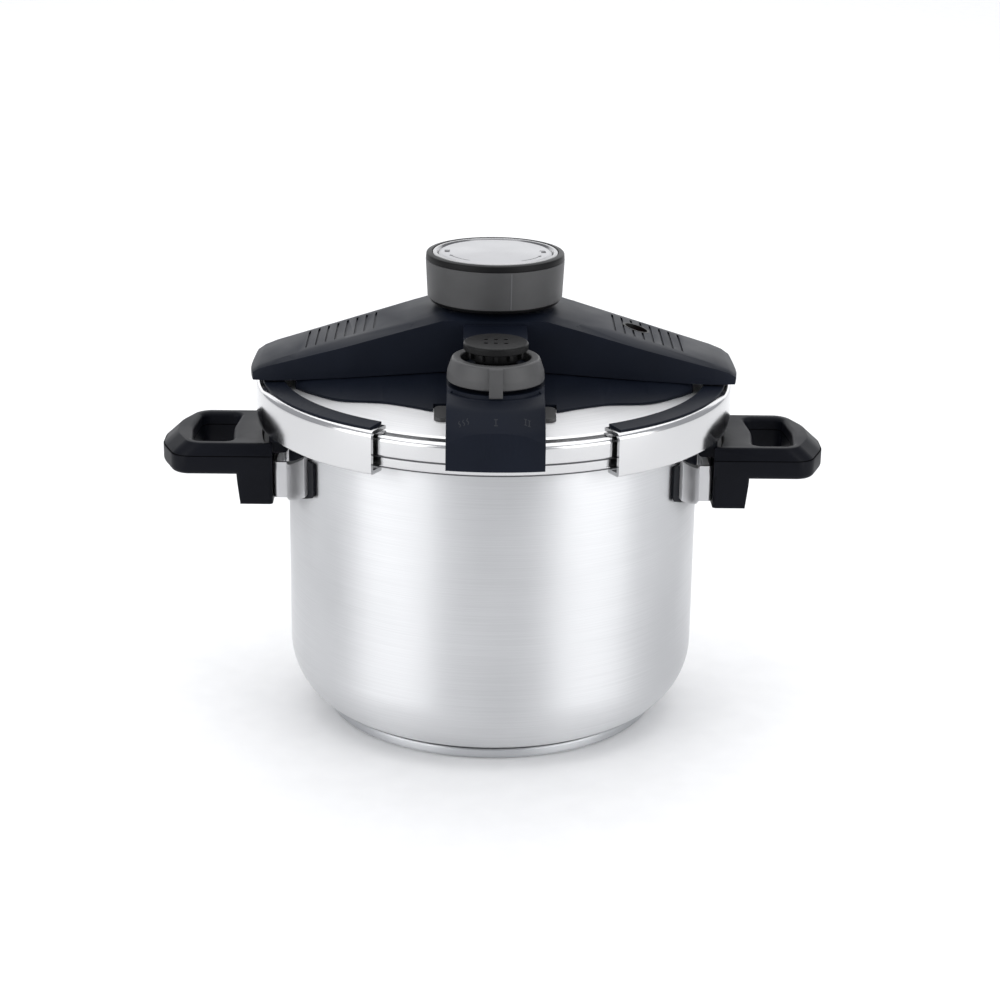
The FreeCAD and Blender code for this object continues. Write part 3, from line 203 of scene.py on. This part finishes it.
def turned_steel(name, colour, roughness, grain, anisotropy, across="Z", depth=0.000002):
    """Metal with fine lines round the vertical axis, that lie side by side along Z or the radius R."""
    material, tree, shader = shader_graph(name)
    turned = turned_coordinates(tree)
    lines = add_node(tree, "Mapping")
    lines.inputs["Scale"].default_value = (grain, 1.6, 0.0) if across == "R" else (0.0, 1.6, grain)
    tree.links.new(turned.outputs["Vector"], lines.inputs["Vector"])
    brushing = add_node(tree, "TexNoise", scale=1.0, detail=3.0, roughness=0.6)
    tree.links.new(lines.outputs["Vector"], brushing.inputs["Vector"])
    smudges = object_noise(tree, (1.0, 1.0, 0.6), 14.0, 3.0)
    tree.links.new(shade(tree, brushing.outputs["Fac"], tinted(colour, 0.93), colour),
                   shader.inputs["Base Color"])
    tree.links.new(map_range(tree, smudges.outputs["Fac"], roughness * 0.85, roughness * 1.2),
                   shader.inputs["Roughness"])
    bump(tree, shader, brushing.outputs["Fac"], depth)
    shader.inputs["Metallic"].default_value = 1.0
    shader.inputs["Anisotropic"].default_value = anisotropy
    shader.inputs["Anisotropic Rotation"].default_value = 0.25
    tangent = add_node(tree, "Tangent", direction_type="RADIAL", axis="Z")
    tree.links.new(tangent.outputs["Tangent"], shader.inputs["Tangent"])
    return material


def polished_steel(name, colour, roughness):
    """Mirror polish with faint smudges and hairline marks."""
    material, tree, shader = shader_graph(name)
    smudges = object_noise(tree, (1.0, 1.0, 1.0), 22.0, 4.0)
    hairlines = object_noise(tree, (1.0, 1.0, 9.0), 900.0, 2.0)
    tree.links.new(shade(tree, smudges.outputs["Fac"], tinted(colour, 0.97), colour),
                   shader.inputs["Base Color"])
    tree.links.new(map_range(tree, smudges.outputs["Fac"], roughness * 0.7, roughness * 1.5),
                   shader.inputs["Roughness"])
    bump(tree, shader, hairlines.outputs["Fac"], 0.0000006)
    shader.inputs["Metallic"].default_value = 1.0
    return material


def moulded(name, colour, roughness, grain, depth=0.00002, specular=0.16):
    """Moulded plastic: spark-eroded grain, faint flow marks and uneven gloss."""
    material, tree, shader = shader_graph(name)
    flow = object_noise(tree, (1.0, 1.0, 1.0), 30.0, 3.0)
    texture = object_noise(tree, (1.0, 1.0, 1.0), grain, 5.0)
    tree.links.new(shade(tree, flow.outputs["Fac"], tinted(colour, 0.88), tinted(colour, 1.12)),
                   shader.inputs["Base Color"])
    tree.links.new(map_range(tree, flow.outputs["Fac"], roughness * 0.9, roughness * 1.12),
                   shader.inputs["Roughness"])
    bump(tree, shader, texture.outputs["Fac"], depth, 0.6)
    shader.inputs["Specular IOR Level"].default_value = specular
    return material


def make_materials():
    """Every finish by name, the CAD nodes' own material slots among them."""
    return {
        "steel_satin": turned_steel("steel_satin", (0.68, 0.685, 0.695), 0.45, 2600.0, 0.8),
        "steel_brushed": turned_steel("steel_brushed", (0.60, 0.61, 0.625), 0.42, 2200.0, 0.7,
                                      depth=0.000005),
        "steel_polished": polished_steel("steel_polished", (0.62, 0.62, 0.625), 0.14),
        "rim_steel": turned_steel("rim_steel", (0.62, 0.62, 0.625), 0.17, 1800.0, 0.3),
        "bracket_steel": polished_steel("bracket_steel", (0.56, 0.56, 0.57), 0.38),
        "lid_steel": turned_steel("lid_steel", (0.64, 0.64, 0.645), 0.17, 1600.0, 0.3, "R"),
        "dome_steel": turned_steel("dome_steel", (0.80, 0.80, 0.805), 0.52, 1100.0, 0.3, "R", 0.0000008),
        "aluminium": turned_steel("aluminium", (0.75, 0.76, 0.77), 0.4, 900.0, 0.3),
        "handle_plastic": moulded("handle_plastic", (0.0042, 0.0048, 0.0075), 0.45, 1300.0, specular=0.085),
        "navy_plastic": moulded("navy_plastic", (0.0055, 0.0075, 0.0135), 0.45, 1500.0, specular=0.085),
        "grey_plastic": moulded("grey_plastic", (0.060, 0.060, 0.061), 0.46, 1700.0, specular=0.3),
        "black_plastic": moulded("black_plastic", (0.006, 0.006, 0.0063), 0.42, 1500.0, specular=0.12),
        "chrome_trim": polished_steel("chrome_trim", (0.26, 0.26, 0.265), 0.18),
        "disc_aluminium": turned_steel("disc_aluminium", (0.42, 0.42, 0.43), 0.40, 5200.0, 0.5, "R",
                                       0.000003),
        "mechanism_steel": turned_steel("mechanism_steel", (0.55, 0.55, 0.56), 0.4, 1200.0, 0.3),
        "fastener_steel": turned_steel("fastener_steel", (0.60, 0.60, 0.61), 0.32, 1500.0, 0.2, "R"),
        "valve_steel": turned_steel("valve_steel", (0.66, 0.66, 0.67), 0.22, 2500.0, 0.3),
        "spring_steel": polished_steel("spring_steel", (0.50, 0.50, 0.51), 0.2),
        "silicone": moulded("silicone", (0.24, 0.25, 0.26), 0.55, 900.0),
        "indicator_metal": moulded("indicator_metal", (0.45, 0.04, 0.03), 0.3, 1200.0, 0.00001),
        # dark steel for two thin rings of painted shade: under the pot rim and at the lid skirt's bottom
        "shade_line_steel": turned_steel("shade_line_steel", (0.10, 0.10, 0.105), 0.5, 1400.0, 0.2),
        "seam_shadow": moulded("seam_shadow", (0.0012, 0.0012, 0.0014), 0.8, 1500.0, specular=0.02),
        # lighter grey of the knob's index strip: a painted highlight
        "index_highlight_grey": moulded("index_highlight_grey", (0.105, 0.105, 0.108), 0.5, 2000.0, 0.00001),
        "mark_ink": moulded("mark_ink", (0.07, 0.07, 0.074), 0.6, 2000.0, 0.00001),
        "mark_grey": moulded("mark_grey", (0.018, 0.02, 0.025), 0.5, 2000.0, 0.00001),
    }


MATERIALS = make_materials()


# ---------------------------------------------------------------- meshes
def soften(mesh, angle=32.0):
    """Smooth shading with sharp edges where faces meet more steeply than angle."""
    mesh.shade_smooth()
    mesh.set_sharp_from_angle(angle=math.radians(angle))


def settle(piece):
    """Replace a piece's mesh by what its modifiers make of it."""
    graph = bpy.context.evaluated_depsgraph_get()
    mesh = bpy.data.meshes.new_from_object(piece.evaluated_get(graph))
    piece.modifiers.clear()
    piece.data = mesh


def mesh_from(work, name):
    """Turn a finished bmesh into a mesh."""
    mesh = bpy.data.meshes.new(name)
    work.to_mesh(mesh)
    work.free()
    return mesh


def metres(place):
    """A place in millimetres as one in metres. A Vector would round it, and that moves the cuts a little."""
    return [value * SCALE for value in place]


def slice_at(work, place, normal, clear=False):
    """Cut a bmesh at a plane through a place in millimetres, and if asked drop what lies behind it."""
    bmesh.ops.bisect_plane(work, geom=work.verts[:] + work.edges[:] + work.faces[:],
                           plane_co=metres(place), plane_no=normal, clear_inner=clear)


def loose(name, mesh):
    """A new object in the scene that holds a mesh."""
    piece = bpy.data.objects.new(name, mesh)
    bpy.context.scene.collection.objects.link(piece)
    return piece


def paint(mesh, finish):
    """Give a mesh one material and no other."""
    mesh.materials.clear()
    mesh.materials.append(MATERIALS[finish])


def extra(piece, node, finish):
    """A detail that is no CAD node: it moves with one, and has a finish of its own."""
    paint(piece.data, finish)
    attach(piece, BODY_OF[node])


def stand_in(piece, node, finish=None):
    """Let a piece stand for a CAD node: same body, same slot, and its slot's finish unless one is given."""
    extra(piece, node, finish or SLOT_OF[node])
    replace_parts(piece, node)
    return piece


def rounded(corners, steps):
    """Points of an outline in metres, from corners (x, y) or (x, y, rounding) in millimetres."""
    points = []
    count = len(corners)
    for place, corner in enumerate(corners):
        tip = Vector(corner[:2])
        if len(corner) < 3:
            points.append(tip * SCALE)
            continue
        back = (Vector(corners[place - 1][:2]) - tip).normalized()
        ahead = (Vector(corners[(place + 1) % count][:2]) - tip).normalized()
        half = back.angle(ahead) / 2
        centre = tip + (back + ahead).normalized() * (corner[2] / math.sin(half))
        first = tip + back * (corner[2] / math.tan(half)) - centre
        turn = math.pi - 2 * half
        way = 1 if back.x * ahead.y - back.y * ahead.x < 0 else -1
        pieces = max(2, round(steps * turn / (math.pi / 2)))
        for step in range(pieces + 1):
            bend = way * turn * step / pieces
            spoke = Matrix.Rotation(bend, 2) @ first
            points.append((centre + spoke) * SCALE)
    return points


def lathe(name, corners, around=192, sweep=360.0, middle=0.0, steps=8):
    """Turn a closed outline of (radius, height) corners in millimetres about the vertical axis."""
    outline = rounded(corners, steps)
    whole = sweep >= 360.0
    turns = around if whole else around + 1
    work = bmesh.new()
    rows = []
    for turn in range(turns):
        angle = math.radians(middle - sweep / 2 + sweep * turn / around)
        spoke = Vector((math.cos(angle), math.sin(angle)))
        rows.append([work.verts.new((spoke.x * point.x, spoke.y * point.x, point.y)) for point in outline])
    for turn in range(around):
        row, following = rows[turn], rows[(turn + 1) % turns]
        for place in range(len(outline)):
            onward = (place + 1) % len(outline)
            work.faces.new((row[place], following[place], following[onward], row[onward]))
    if not whole:
        work.faces.new(rows[0])
        work.faces.new(list(reversed(rows[-1])))
    bmesh.ops.remove_doubles(work, verts=work.verts, dist=MERGE)
    bmesh.ops.dissolve_degenerate(work, edges=work.edges, dist=MERGE / 10)
    bmesh.ops.recalc_face_normals(work, faces=work.faces)
    mesh = mesh_from(work, name)
    soften(mesh)
    return loose(name, mesh)


def refined(node, bevel, finish=None, shape=None):
    """The CAD node's own shape with its sharp edges broken by a small bevel in millimetres."""
    sharp = 33.0
    work = bmesh.new()
    work.from_mesh(NODES[node].data)
    bmesh.ops.remove_doubles(work, verts=work.verts, dist=MERGE * 10)
    bmesh.ops.dissolve_limit(work, angle_limit=math.radians(0.5), verts=work.verts, edges=work.edges)
    if shape:
        shape(work)
    mesh = mesh_from(work, node + "_look")
    soften(mesh, sharp)
    piece = loose(node + "_look", mesh)
    edges = piece.modifiers.new("edge_break", "BEVEL")
    edges.width = bevel * SCALE
    edges.segments = 3
    edges.limit_method = "ANGLE"
    edges.angle_limit = math.radians(sharp)
    edges.harden_normals = True
    settle(piece)
    return stand_in(piece, node, finish)


def surface_of(piece):
    """A function that gives the height of a piece's upper surface, in metres, above x, y."""
    tree = BVHTree.FromPolygons([vertex.co for vertex in piece.data.vertices],
                                [face.vertices for face in piece.data.polygons])

    def height(x, y):
        hit = tree.ray_cast(Vector((x, y, 1.0)), Vector((0, 0, -1)))[0]
        return hit.z

    return height


def printed(name, carrier, shapes, finish, node):
    """Raised marks: outlines in millimetres seen from above, laid on the carrier's surface.

    An outline's second half runs back beside its first half, as ribbon() makes it.
    """
    height = surface_of(carrier)
    work = bmesh.new()
    for outline in shapes:
        low, high = [], []
        for x, y in outline:
            z = height(x * SCALE, y * SCALE)
            low.append(work.verts.new((x * SCALE, y * SCALE, z - MARK_ROOT * SCALE)))
            high.append(work.verts.new((x * SCALE, y * SCALE, z + MARK_HEIGHT * SCALE)))
        count = len(outline)
        for place in range(count):
            onward = (place + 1) % count
            work.faces.new((low[place], low[onward], high[onward], high[place]))
        for place in range(count // 2 - 1):
            mates = (place, place + 1, count - 2 - place, count - 1 - place)
            work.faces.new([high[mate] for mate in mates])
            work.faces.new([low[mate] for mate in reversed(mates)])
    bmesh.ops.recalc_face_normals(work, faces=work.faces)
    extra(loose(name, mesh_from(work, name)), node, finish)


def ribbon(points, width):
    """Closed outline round an open line of points, with an even width."""
    left, right = [], []
    for place, point in enumerate(points):
        before, after = points[max(place - 1, 0)], points[min(place + 1, len(points) - 1)]
        along = (Vector(after) - Vector(before)).normalized()
        across = Vector((-along.y, along.x)) * width / 2
        left.append(tuple(Vector(point) + across))
        right.append(tuple(Vector(point) - across))
    return left + right[::-1]


def arc(radius, start, stop, steps=16, x=0.0, y=0.0):
    """Points along an arc, with angles in degrees."""
    angles = [math.radians(start + (stop - start) * step / steps) for step in range(steps + 1)]
    return [(x + radius * math.cos(angle), y + radius * math.sin(angle)) for angle in angles]


def point_at(radius, angle):
    """The point at a radius and an angle in degrees."""
    return arc(radius, angle, angle, 1)[0]


def serif_stroke(x, low, half_serif, serif_width):
    """Outlines of one upright stroke with a short bar at each end, seen from above."""
    high = low + 2.6
    stroke = [ribbon([(x, low), (x, high)], 0.5)]
    for y in (low, high):
        stroke.append(ribbon([(x - half_serif, y), (x + half_serif, y)], serif_width))
    return stroke


# ---------------------------------------------------------------- pot
def make_pot():
    """Satin wall, and apart from it the polished rim, a thin dark ring of painted shade under the rim, and
    the base cap.
    """
    outside, inside = POT_RADIUS, POT_RADIUS - POT_STEEL
    wall = lathe("pot_wall", [
        (0, POT_BOTTOM), (94.1, POT_BOTTOM, 24.5), (outside, 24.9, 37.5), (outside, WALL_TOP),
        (inside, WALL_TOP), (inside, 25.3, 36.5), (93.65, POT_BOTTOM + POT_STEEL, 23.5),
        (0, POT_BOTTOM + POT_STEEL),
    ], around=256, steps=24)
    stand_in(wall, "pot_shell")
    rim_inside = RIM_RADIUS - POT_STEEL
    rim = lathe("pot_rim", [
        (inside, WALL_TOP), (outside, WALL_TOP), (111.1, RIM_BOTTOM, 0.1), (RIM_RADIUS, RIM_BOTTOM, 1.0),
        (RIM_RADIUS, RIM_TOP, 2.2), (115.8, RIM_TOP, 0.8), (115.8, 171.6), (116.8, 171.6),
        (116.8, RIM_TOP - POT_STEEL), (rim_inside, RIM_TOP - POT_STEEL, 1.4), (rim_inside, 168.4, 1.4),
        (inside, 168.4, 0.8),
    ], around=256, steps=12)
    extra(rim, "pot_shell", "rim_steel")
    # A thin dark ring under the rim's lower edge: painted shade where the rim overhangs the wall.
    rim_shade_radius, rim_shade_bottom, rim_shade_top = 121.3, 167.15, 167.9
    rim_shade = lathe("rim_shade_line", [
        (118.0, rim_shade_bottom), (rim_shade_radius, rim_shade_bottom, 0.2), (rim_shade_radius, rim_shade_top), (118.0, rim_shade_top),
    ], around=256, steps=6)
    extra(rim_shade, "pot_shell", "shade_line_steel")
    cap = lathe("base_rim", [
        (0, 0), (88.5, 0, 0.5), (89.0, 0.5, 0.5), (BASE_RADIUS, 1.4, 0.9), (BASE_RADIUS, 5.2, 0.4),
        (90.3, POT_BOTTOM), (BASE_RADIUS - BASE_STEEL, POT_BOTTOM), (BASE_RADIUS - BASE_STEEL, BASE_STEEL),
        (0, BASE_STEEL),
    ], around=256, steps=6)
    stand_in(cap, "base_cap")


# ---------------------------------------------------------------- clamp
def make_jaw(side, name):
    """C-shaped arc of sheet that hooks over the lid and under the rim; side is -1 or 1 along x."""
    inside = JAW_RADIUS - JAW_STEEL
    under_flange, over_lip = JAW_TOP - JAW_STEEL, JAW_BOTTOM + JAW_STEEL
    piece = lathe(name + "_jaw_look", [
        (JAW_FLANGE_REACH, JAW_TOP, 0.5), (JAW_RADIUS, JAW_TOP, 3.0), (JAW_RADIUS, JAW_BOTTOM, 1.8),
        (JAW_LIP_REACH, JAW_BOTTOM, 0.5), (JAW_LIP_REACH, over_lip, 0.5), (inside, over_lip, 0.6),
        (inside, under_flange, 1.2), (JAW_FLANGE_REACH, under_flange, 0.5),
    ], around=144, sweep=JAW_SWEEP, middle=90.0 - 90.0 * side)
    stand_in(piece, name + "_jaw")


# ---------------------------------------------------------------- lid
def make_lid():
    """Satin dome, and apart from it the polished shoulder with its skirt, and a thin dark ring of painted
    shade at the skirt's bottom edge.
    """
    dome_edge = LID_SHOULDER + 0.6
    dome = lathe("lid_dome", [
        (LID_HOLE, LID_CROWN), (90.0, LID_CROWN - 2.1, 150.0), (DOME_RADIUS, dome_edge),
        (DOME_RADIUS, dome_edge - LID_STEEL), (90.0, LID_CROWN - 2.1 - LID_STEEL, 149.0),
        (LID_HOLE, LID_CROWN - LID_STEEL),
    ], around=256, steps=24)
    stand_in(dome, "lid_pan", "dome_steel")
    inside = LID_RADIUS - LID_STEEL
    shoulder = lathe("lid_shoulder", [
        (DOME_RADIUS, dome_edge), (115.3, LID_SHOULDER, 1.2), (LID_RADIUS, LID_SHOULDER, 2.8),
        (LID_RADIUS, LID_SKIRT_BOTTOM, 0.9), (inside, LID_SKIRT_BOTTOM, 0.2),
        (inside, LID_SHOULDER - LID_STEEL, 1.7), (115.0, LID_SHOULDER - LID_STEEL, 1.0),
        (DOME_RADIUS, dome_edge - LID_STEEL),
    ], around=256, steps=16)
    extra(shoulder, "lid_pan", "lid_steel")
    # A thin dark ring at the skirt's bottom: painted shade of the gap between the skirt and the rim.
    skirt_shade_radius, skirt_shade_bottom, skirt_shade_top = 123.0, 172.9, 173.8
    skirt_shade = lathe("lid_shade_line", [
        (inside, skirt_shade_bottom), (skirt_shade_radius, skirt_shade_bottom, 0.2), (skirt_shade_radius, skirt_shade_top), (inside, skirt_shade_top),
    ], around=256, steps=6)
    extra(skirt_shade, "lid_pan", "shade_line_steel")


# ---------------------------------------------------------------- knob
def disc_icons():
    """Outlines of the two turning arrows and the two padlocks on the disc."""
    icons = [ribbon(arc(ICON_RADIUS, 205, 238), 0.45), ribbon(arc(ICON_RADIUS, 302, 335), 0.45)]
    for turn, way in ((205, -1), (335, 1)):
        tip = point_at(ICON_RADIUS, turn + 5 * way)
        icons.append([point_at(24.5, turn), tip, tip, point_at(26.7, turn)])
    for side, shift in ((-1, 0.0), (1, -0.6)):
        x = side * ICON_RADIUS
        lock = ribbon([(x, -2.4), (x, 1.2)], 2.6)
        shackle = ribbon(arc(1.3, 200, -20, 10, x + shift, 1.7), 0.4)
        icons += [lock, shackle]
    return icons


def make_knob():
    """Grey body between two dark trim rings, with a bezel and a printed disc let into its top."""
    low_seam, high_seam = KNOB_SEAM_LOW - SEAM_GAP, KNOB_SEAM_HIGH + SEAM_GAP
    pieces = {
        "knob_body": [
            (6.1, KNOB_SEAM_LOW), (36.0, KNOB_SEAM_LOW, 0.4), (37.0, KNOB_SEAM_HIGH, 0.3),
            (33.8, KNOB_SEAM_HIGH), (33.4, 234.0, 1.5), (11.0, 234.0, 1.0), (11.0, 244.0, 0.4), (6.1, 244.0),
        ],
        "knob_lower_trim": [
            (8.0, KNOB_BOTTOM), (34.4, KNOB_BOTTOM, 1.0), (35.5, low_seam, 0.3), (8.0, low_seam),
        ],
        "knob_upper_trim": [
            (33.6, high_seam), (36.9, high_seam, 0.3), (36.7, 253.6, 1.0), (33.6, 254.2, 0.5),
        ],
        "knob_bezel": [
            (30.4, 250.2), (33.5, 250.2), (33.5, 253.9, 0.9), (31.4, 254.1, 0.6), (30.4, 252.6),
        ],
        "knob_disc": [
            (0, 250.6), (DISC_RADIUS, 250.6), (DISC_RADIUS, 252.9, 0.5), (28.8, 253.7, 1.0), (0, 254.1),
        ],
    }
    made = {node: stand_in(lathe(node + "_look", outline), node) for node, outline in pieces.items()}
    printed("disc_marks", made["knob_disc"], disc_icons(), "mark_ink", "knob_disc")
    pointer = [point_at(31.2, -48.0), point_at(33.0, -50.4), point_at(33.0, -45.6), point_at(31.3, -47.0)]
    printed("bezel_mark", made["knob_bezel"], [pointer], "black_plastic", "knob_upper_trim")
    # The index is a raised strip on the knob's side, and its grey, lighter than the knob body's, is a
    # painted highlight.
    index_angle, index_width = -77.0, 1.1
    index = lathe("knob_index", [(35.9, 230.6), (36.22, 230.6, 0.1), (37.06, 249.8, 0.1), (36.6, 249.8)],
                  around=4, sweep=index_width, middle=index_angle)
    extra(index, "knob_body", "index_highlight_grey")


# ---------------------------------------------------------------- valve
def make_valve():
    """Tower with its ring, cap and plate, and the three marks that the ring's pointer turns to."""
    housing = refined("valve_housing", 0.7)
    refined("selector_ring", 0.35)
    refined("valve_cap", 0.3)
    refined("valve_base_plate", 0.5)
    marks = serif_stroke(0, -126.6, 0.9, 0.4)
    for x in (14.6, 16.4):
        marks += serif_stroke(x, -124.2, 0.7, 0.35)
    for x in (-17.8, -15.8, -13.8):
        steam = [(x + 0.5 * math.sin(step * 0.9), -124.4 + 0.4 * step) for step in range(8)]
        marks.append(ribbon(steam, 0.4))
    printed("valve_marks", housing, marks, "mark_grey", "valve_housing")


# ---------------------------------------------------------------- arm, handles
def leaf_width(x, smooth):
    """Half width of the leaf at x in millimetres: straight between the stations, or along a smooth curve."""
    last = len(LEAF_WIDTHS) - 1
    place = max(index for index in range(last) if LEAF_WIDTHS[index][0] <= max(x, 0.0))
    (x0, width0), (x1, width1) = LEAF_WIDTHS[place], LEAF_WIDTHS[place + 1]
    part = (x - x0) / (x1 - x0)
    if not smooth or x > x1:
        return width0 + (width1 - width0) * part
    before = LEAF_WIDTHS[place - 1] if place else (-LEAF_WIDTHS[1][0], LEAF_WIDTHS[1][1])
    after = LEAF_WIDTHS[min(place + 2, last)]
    slope0 = (width1 - before[1]) / (x1 - before[0]) * (x1 - x0)
    slope1 = (after[1] - width0) / (after[0] - x0) * (x1 - x0)
    return ((2 * part ** 3 - 3 * part ** 2 + 1) * width0 + (part ** 3 - 2 * part ** 2 + part) * slope0
            + (3 * part ** 2 - 2 * part ** 3) * width1 + (part ** 3 - part ** 2) * slope1)


def rise(value, start, length):
    """0 up to start, then evenly up to 1 over a length."""
    return min(max((value - start) / length, 0.0), 1.0)


def curve_leaf(work):
    """Bend the leaf's outline, straight between its stations, into a smooth curve.

    Only the outer part of the leaf moves, and nothing near the valve tower does.
    """
    for x in range(-102, 103, 3):
        slice_at(work, (x, 0, 0), (1, 0, 0))
    for vert in work.verts:
        x, y = abs(vert.co.x) / SCALE, abs(vert.co.y) / SCALE
        straight = leaf_width(x, False)
        share = rise(y / straight, 0.55, 0.35) * rise(x, 25.0, 8.0)
        vert.co.y *= 1.0 + (leaf_width(x, True) / straight - 1.0) * share


def parting_line(grip, side_name):
    """Dark line round a side handle, where its two halves meet."""
    low, high, height_above, thickness = 148.35, 148.8, 0.04, 0.1
    work = bmesh.new()
    work.from_mesh(grip.data)
    slice_at(work, (0, 0, low), (0, 0, 1), clear=True)
    slice_at(work, (0, 0, high), (0, 0, -1), clear=True)
    work.normal_update()
    for vert, outward in [(vert, vert.normal.copy()) for vert in work.verts]:
        vert.co += outward * height_above * SCALE
    bmesh.ops.solidify(work, geom=work.faces[:], thickness=thickness * SCALE)
    name = side_name + "_parting_line"
    extra(loose(name, mesh_from(work, name)), side_name + "_handle", "seam_shadow")


def make_collar():
    """Dark bush in the arm's sloping top, round the hole that the indicator rises through."""
    inside, outside, depth, lip = 6.0, 7.3, 2.5, 0.12
    collar = lathe("indicator_collar", [
        (inside, -depth), (outside, -depth), (outside, lip, 0.1), (inside, lip, 0.1),
    ], around=64)
    slope = Matrix.Identity(4)
    slope[2][0] = -ARM_FALL
    collar.data.transform(Matrix.Translation(metres(INDICATOR_PLACE)) @ slope)
    extra(collar, "bridge_cover", "black_plastic")


def make_mouldings():
    """Arm, leaf, side handles with their brackets and pads, and the jaws' covers."""
    refined("bridge_cover", 0.7)
    refined("bridge_base", 0.35, shape=curve_leaf)
    make_collar()
    for name in ("left", "right"):
        grip = refined(name + "_handle", 0.8)
        parting_line(grip, name)
        refined(name + "_bracket", 0.7, "bracket_steel")
        refined(name + "_handle_pad", 0.35)
        refined(name + "_jaw_cover", 0.25)


make_pot()
make_lid()
make_knob()
make_valve()
make_mouldings()
make_jaw(-1, "left")
make_jaw(1, "right")
replaced = {node for piece in bpy.data.objects for node in piece.get("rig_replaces", [])}
for node in sorted(set(NODES) - replaced):
    paint(NODES[node].data, SLOT_OF[node])
    soften(NODES[node].data, 30.0)


# ---------------------------------------------------------------- studio
def make_floor():
    """Plain pale paper, wide enough to fill the view."""
    work = bmesh.new()
    bmesh.ops.create_grid(work, x_segments=8, y_segments=8, size=9.0)
    mesh = mesh_from(work, "floor")
    floor = loose("floor", mesh)
    material, tree, shader = shader_graph("floor_paper")
    grain = object_noise(tree, (1.0, 1.0, 1.0), 60.0, 3.0)
    tree.links.new(shade(tree, grain.outputs["Fac"], (0.88, 0.88, 0.88), (0.90, 0.90, 0.90)),
                   shader.inputs["Base Color"])
    shader.inputs["Roughness"].default_value = 0.7
    mesh.materials.append(material)


def softbox(name, place, target, width, height, power):
    """Rectangular light of a width and height in metres, turned to face a target."""
    light = bpy.data.lights.new(name, "AREA")
    light.shape = "RECTANGLE"
    light.size = width
    light.size_y = height
    light.energy = power
    lamp = bpy.data.objects.new(name, light)
    bpy.context.scene.collection.objects.link(lamp)
    lamp.location = place
    lamp.rotation_euler = (Vector(target) - Vector(place)).to_track_quat("-Z", "Y").to_euler()


def make_studio():
    """Two softboxes in front at the sides, one overhead, one behind, and a dim sky all round."""
    make_floor()
    pot_middle = (0.0, 0.0, 0.12)
    for name, x in (("left_softbox", -1.74), ("right_softbox", 1.74)):
        softbox(name, (x, -1.24, 0.75), pot_middle, 1.8, 1.5, 21.5)
    softbox("top_softbox", (0.0, 0.9, 2.4), (0.0, 0.9, 0.0), 3.2, 4.2, 62.0)
    softbox("back_softbox", (0.0, 5.2, 1.6), (0.0, 0.0, 0.6), 9.0, 3.2, 100.0)
    world = bpy.data.worlds.new("studio")
    bpy.context.scene.world = world
    world.use_nodes = True
    background = world.node_tree.nodes["Background"]
    background.inputs["Color"].default_value = (0.93, 0.95, 1.0, 1.0)
    background.inputs["Strength"].default_value = 0.5


def make_camera():
    """Camera in front of the cooker and a little above it."""
    lens = bpy.data.cameras.new("camera")
    lens.lens = 85.9
    lens.sensor_width = 36.0
    camera = bpy.data.objects.new("camera", lens)
    bpy.context.scene.collection.objects.link(camera)
    camera.location = (-0.0131, -1.2434, 0.5334)
    heading, pitch, roll = math.radians(-0.8), math.radians(18.62), math.radians(0.79)
    turn = (Matrix.Rotation(heading, 4, "Z") @ Matrix.Rotation(math.pi / 2 - pitch, 4, "X")
            @ Matrix.Rotation(roll, 4, "Z"))
    camera.rotation_euler = turn.to_euler()
    bpy.context.scene.camera = camera


make_studio()
make_camera()
bpy.context.scene.view_settings.view_transform = "Standard"
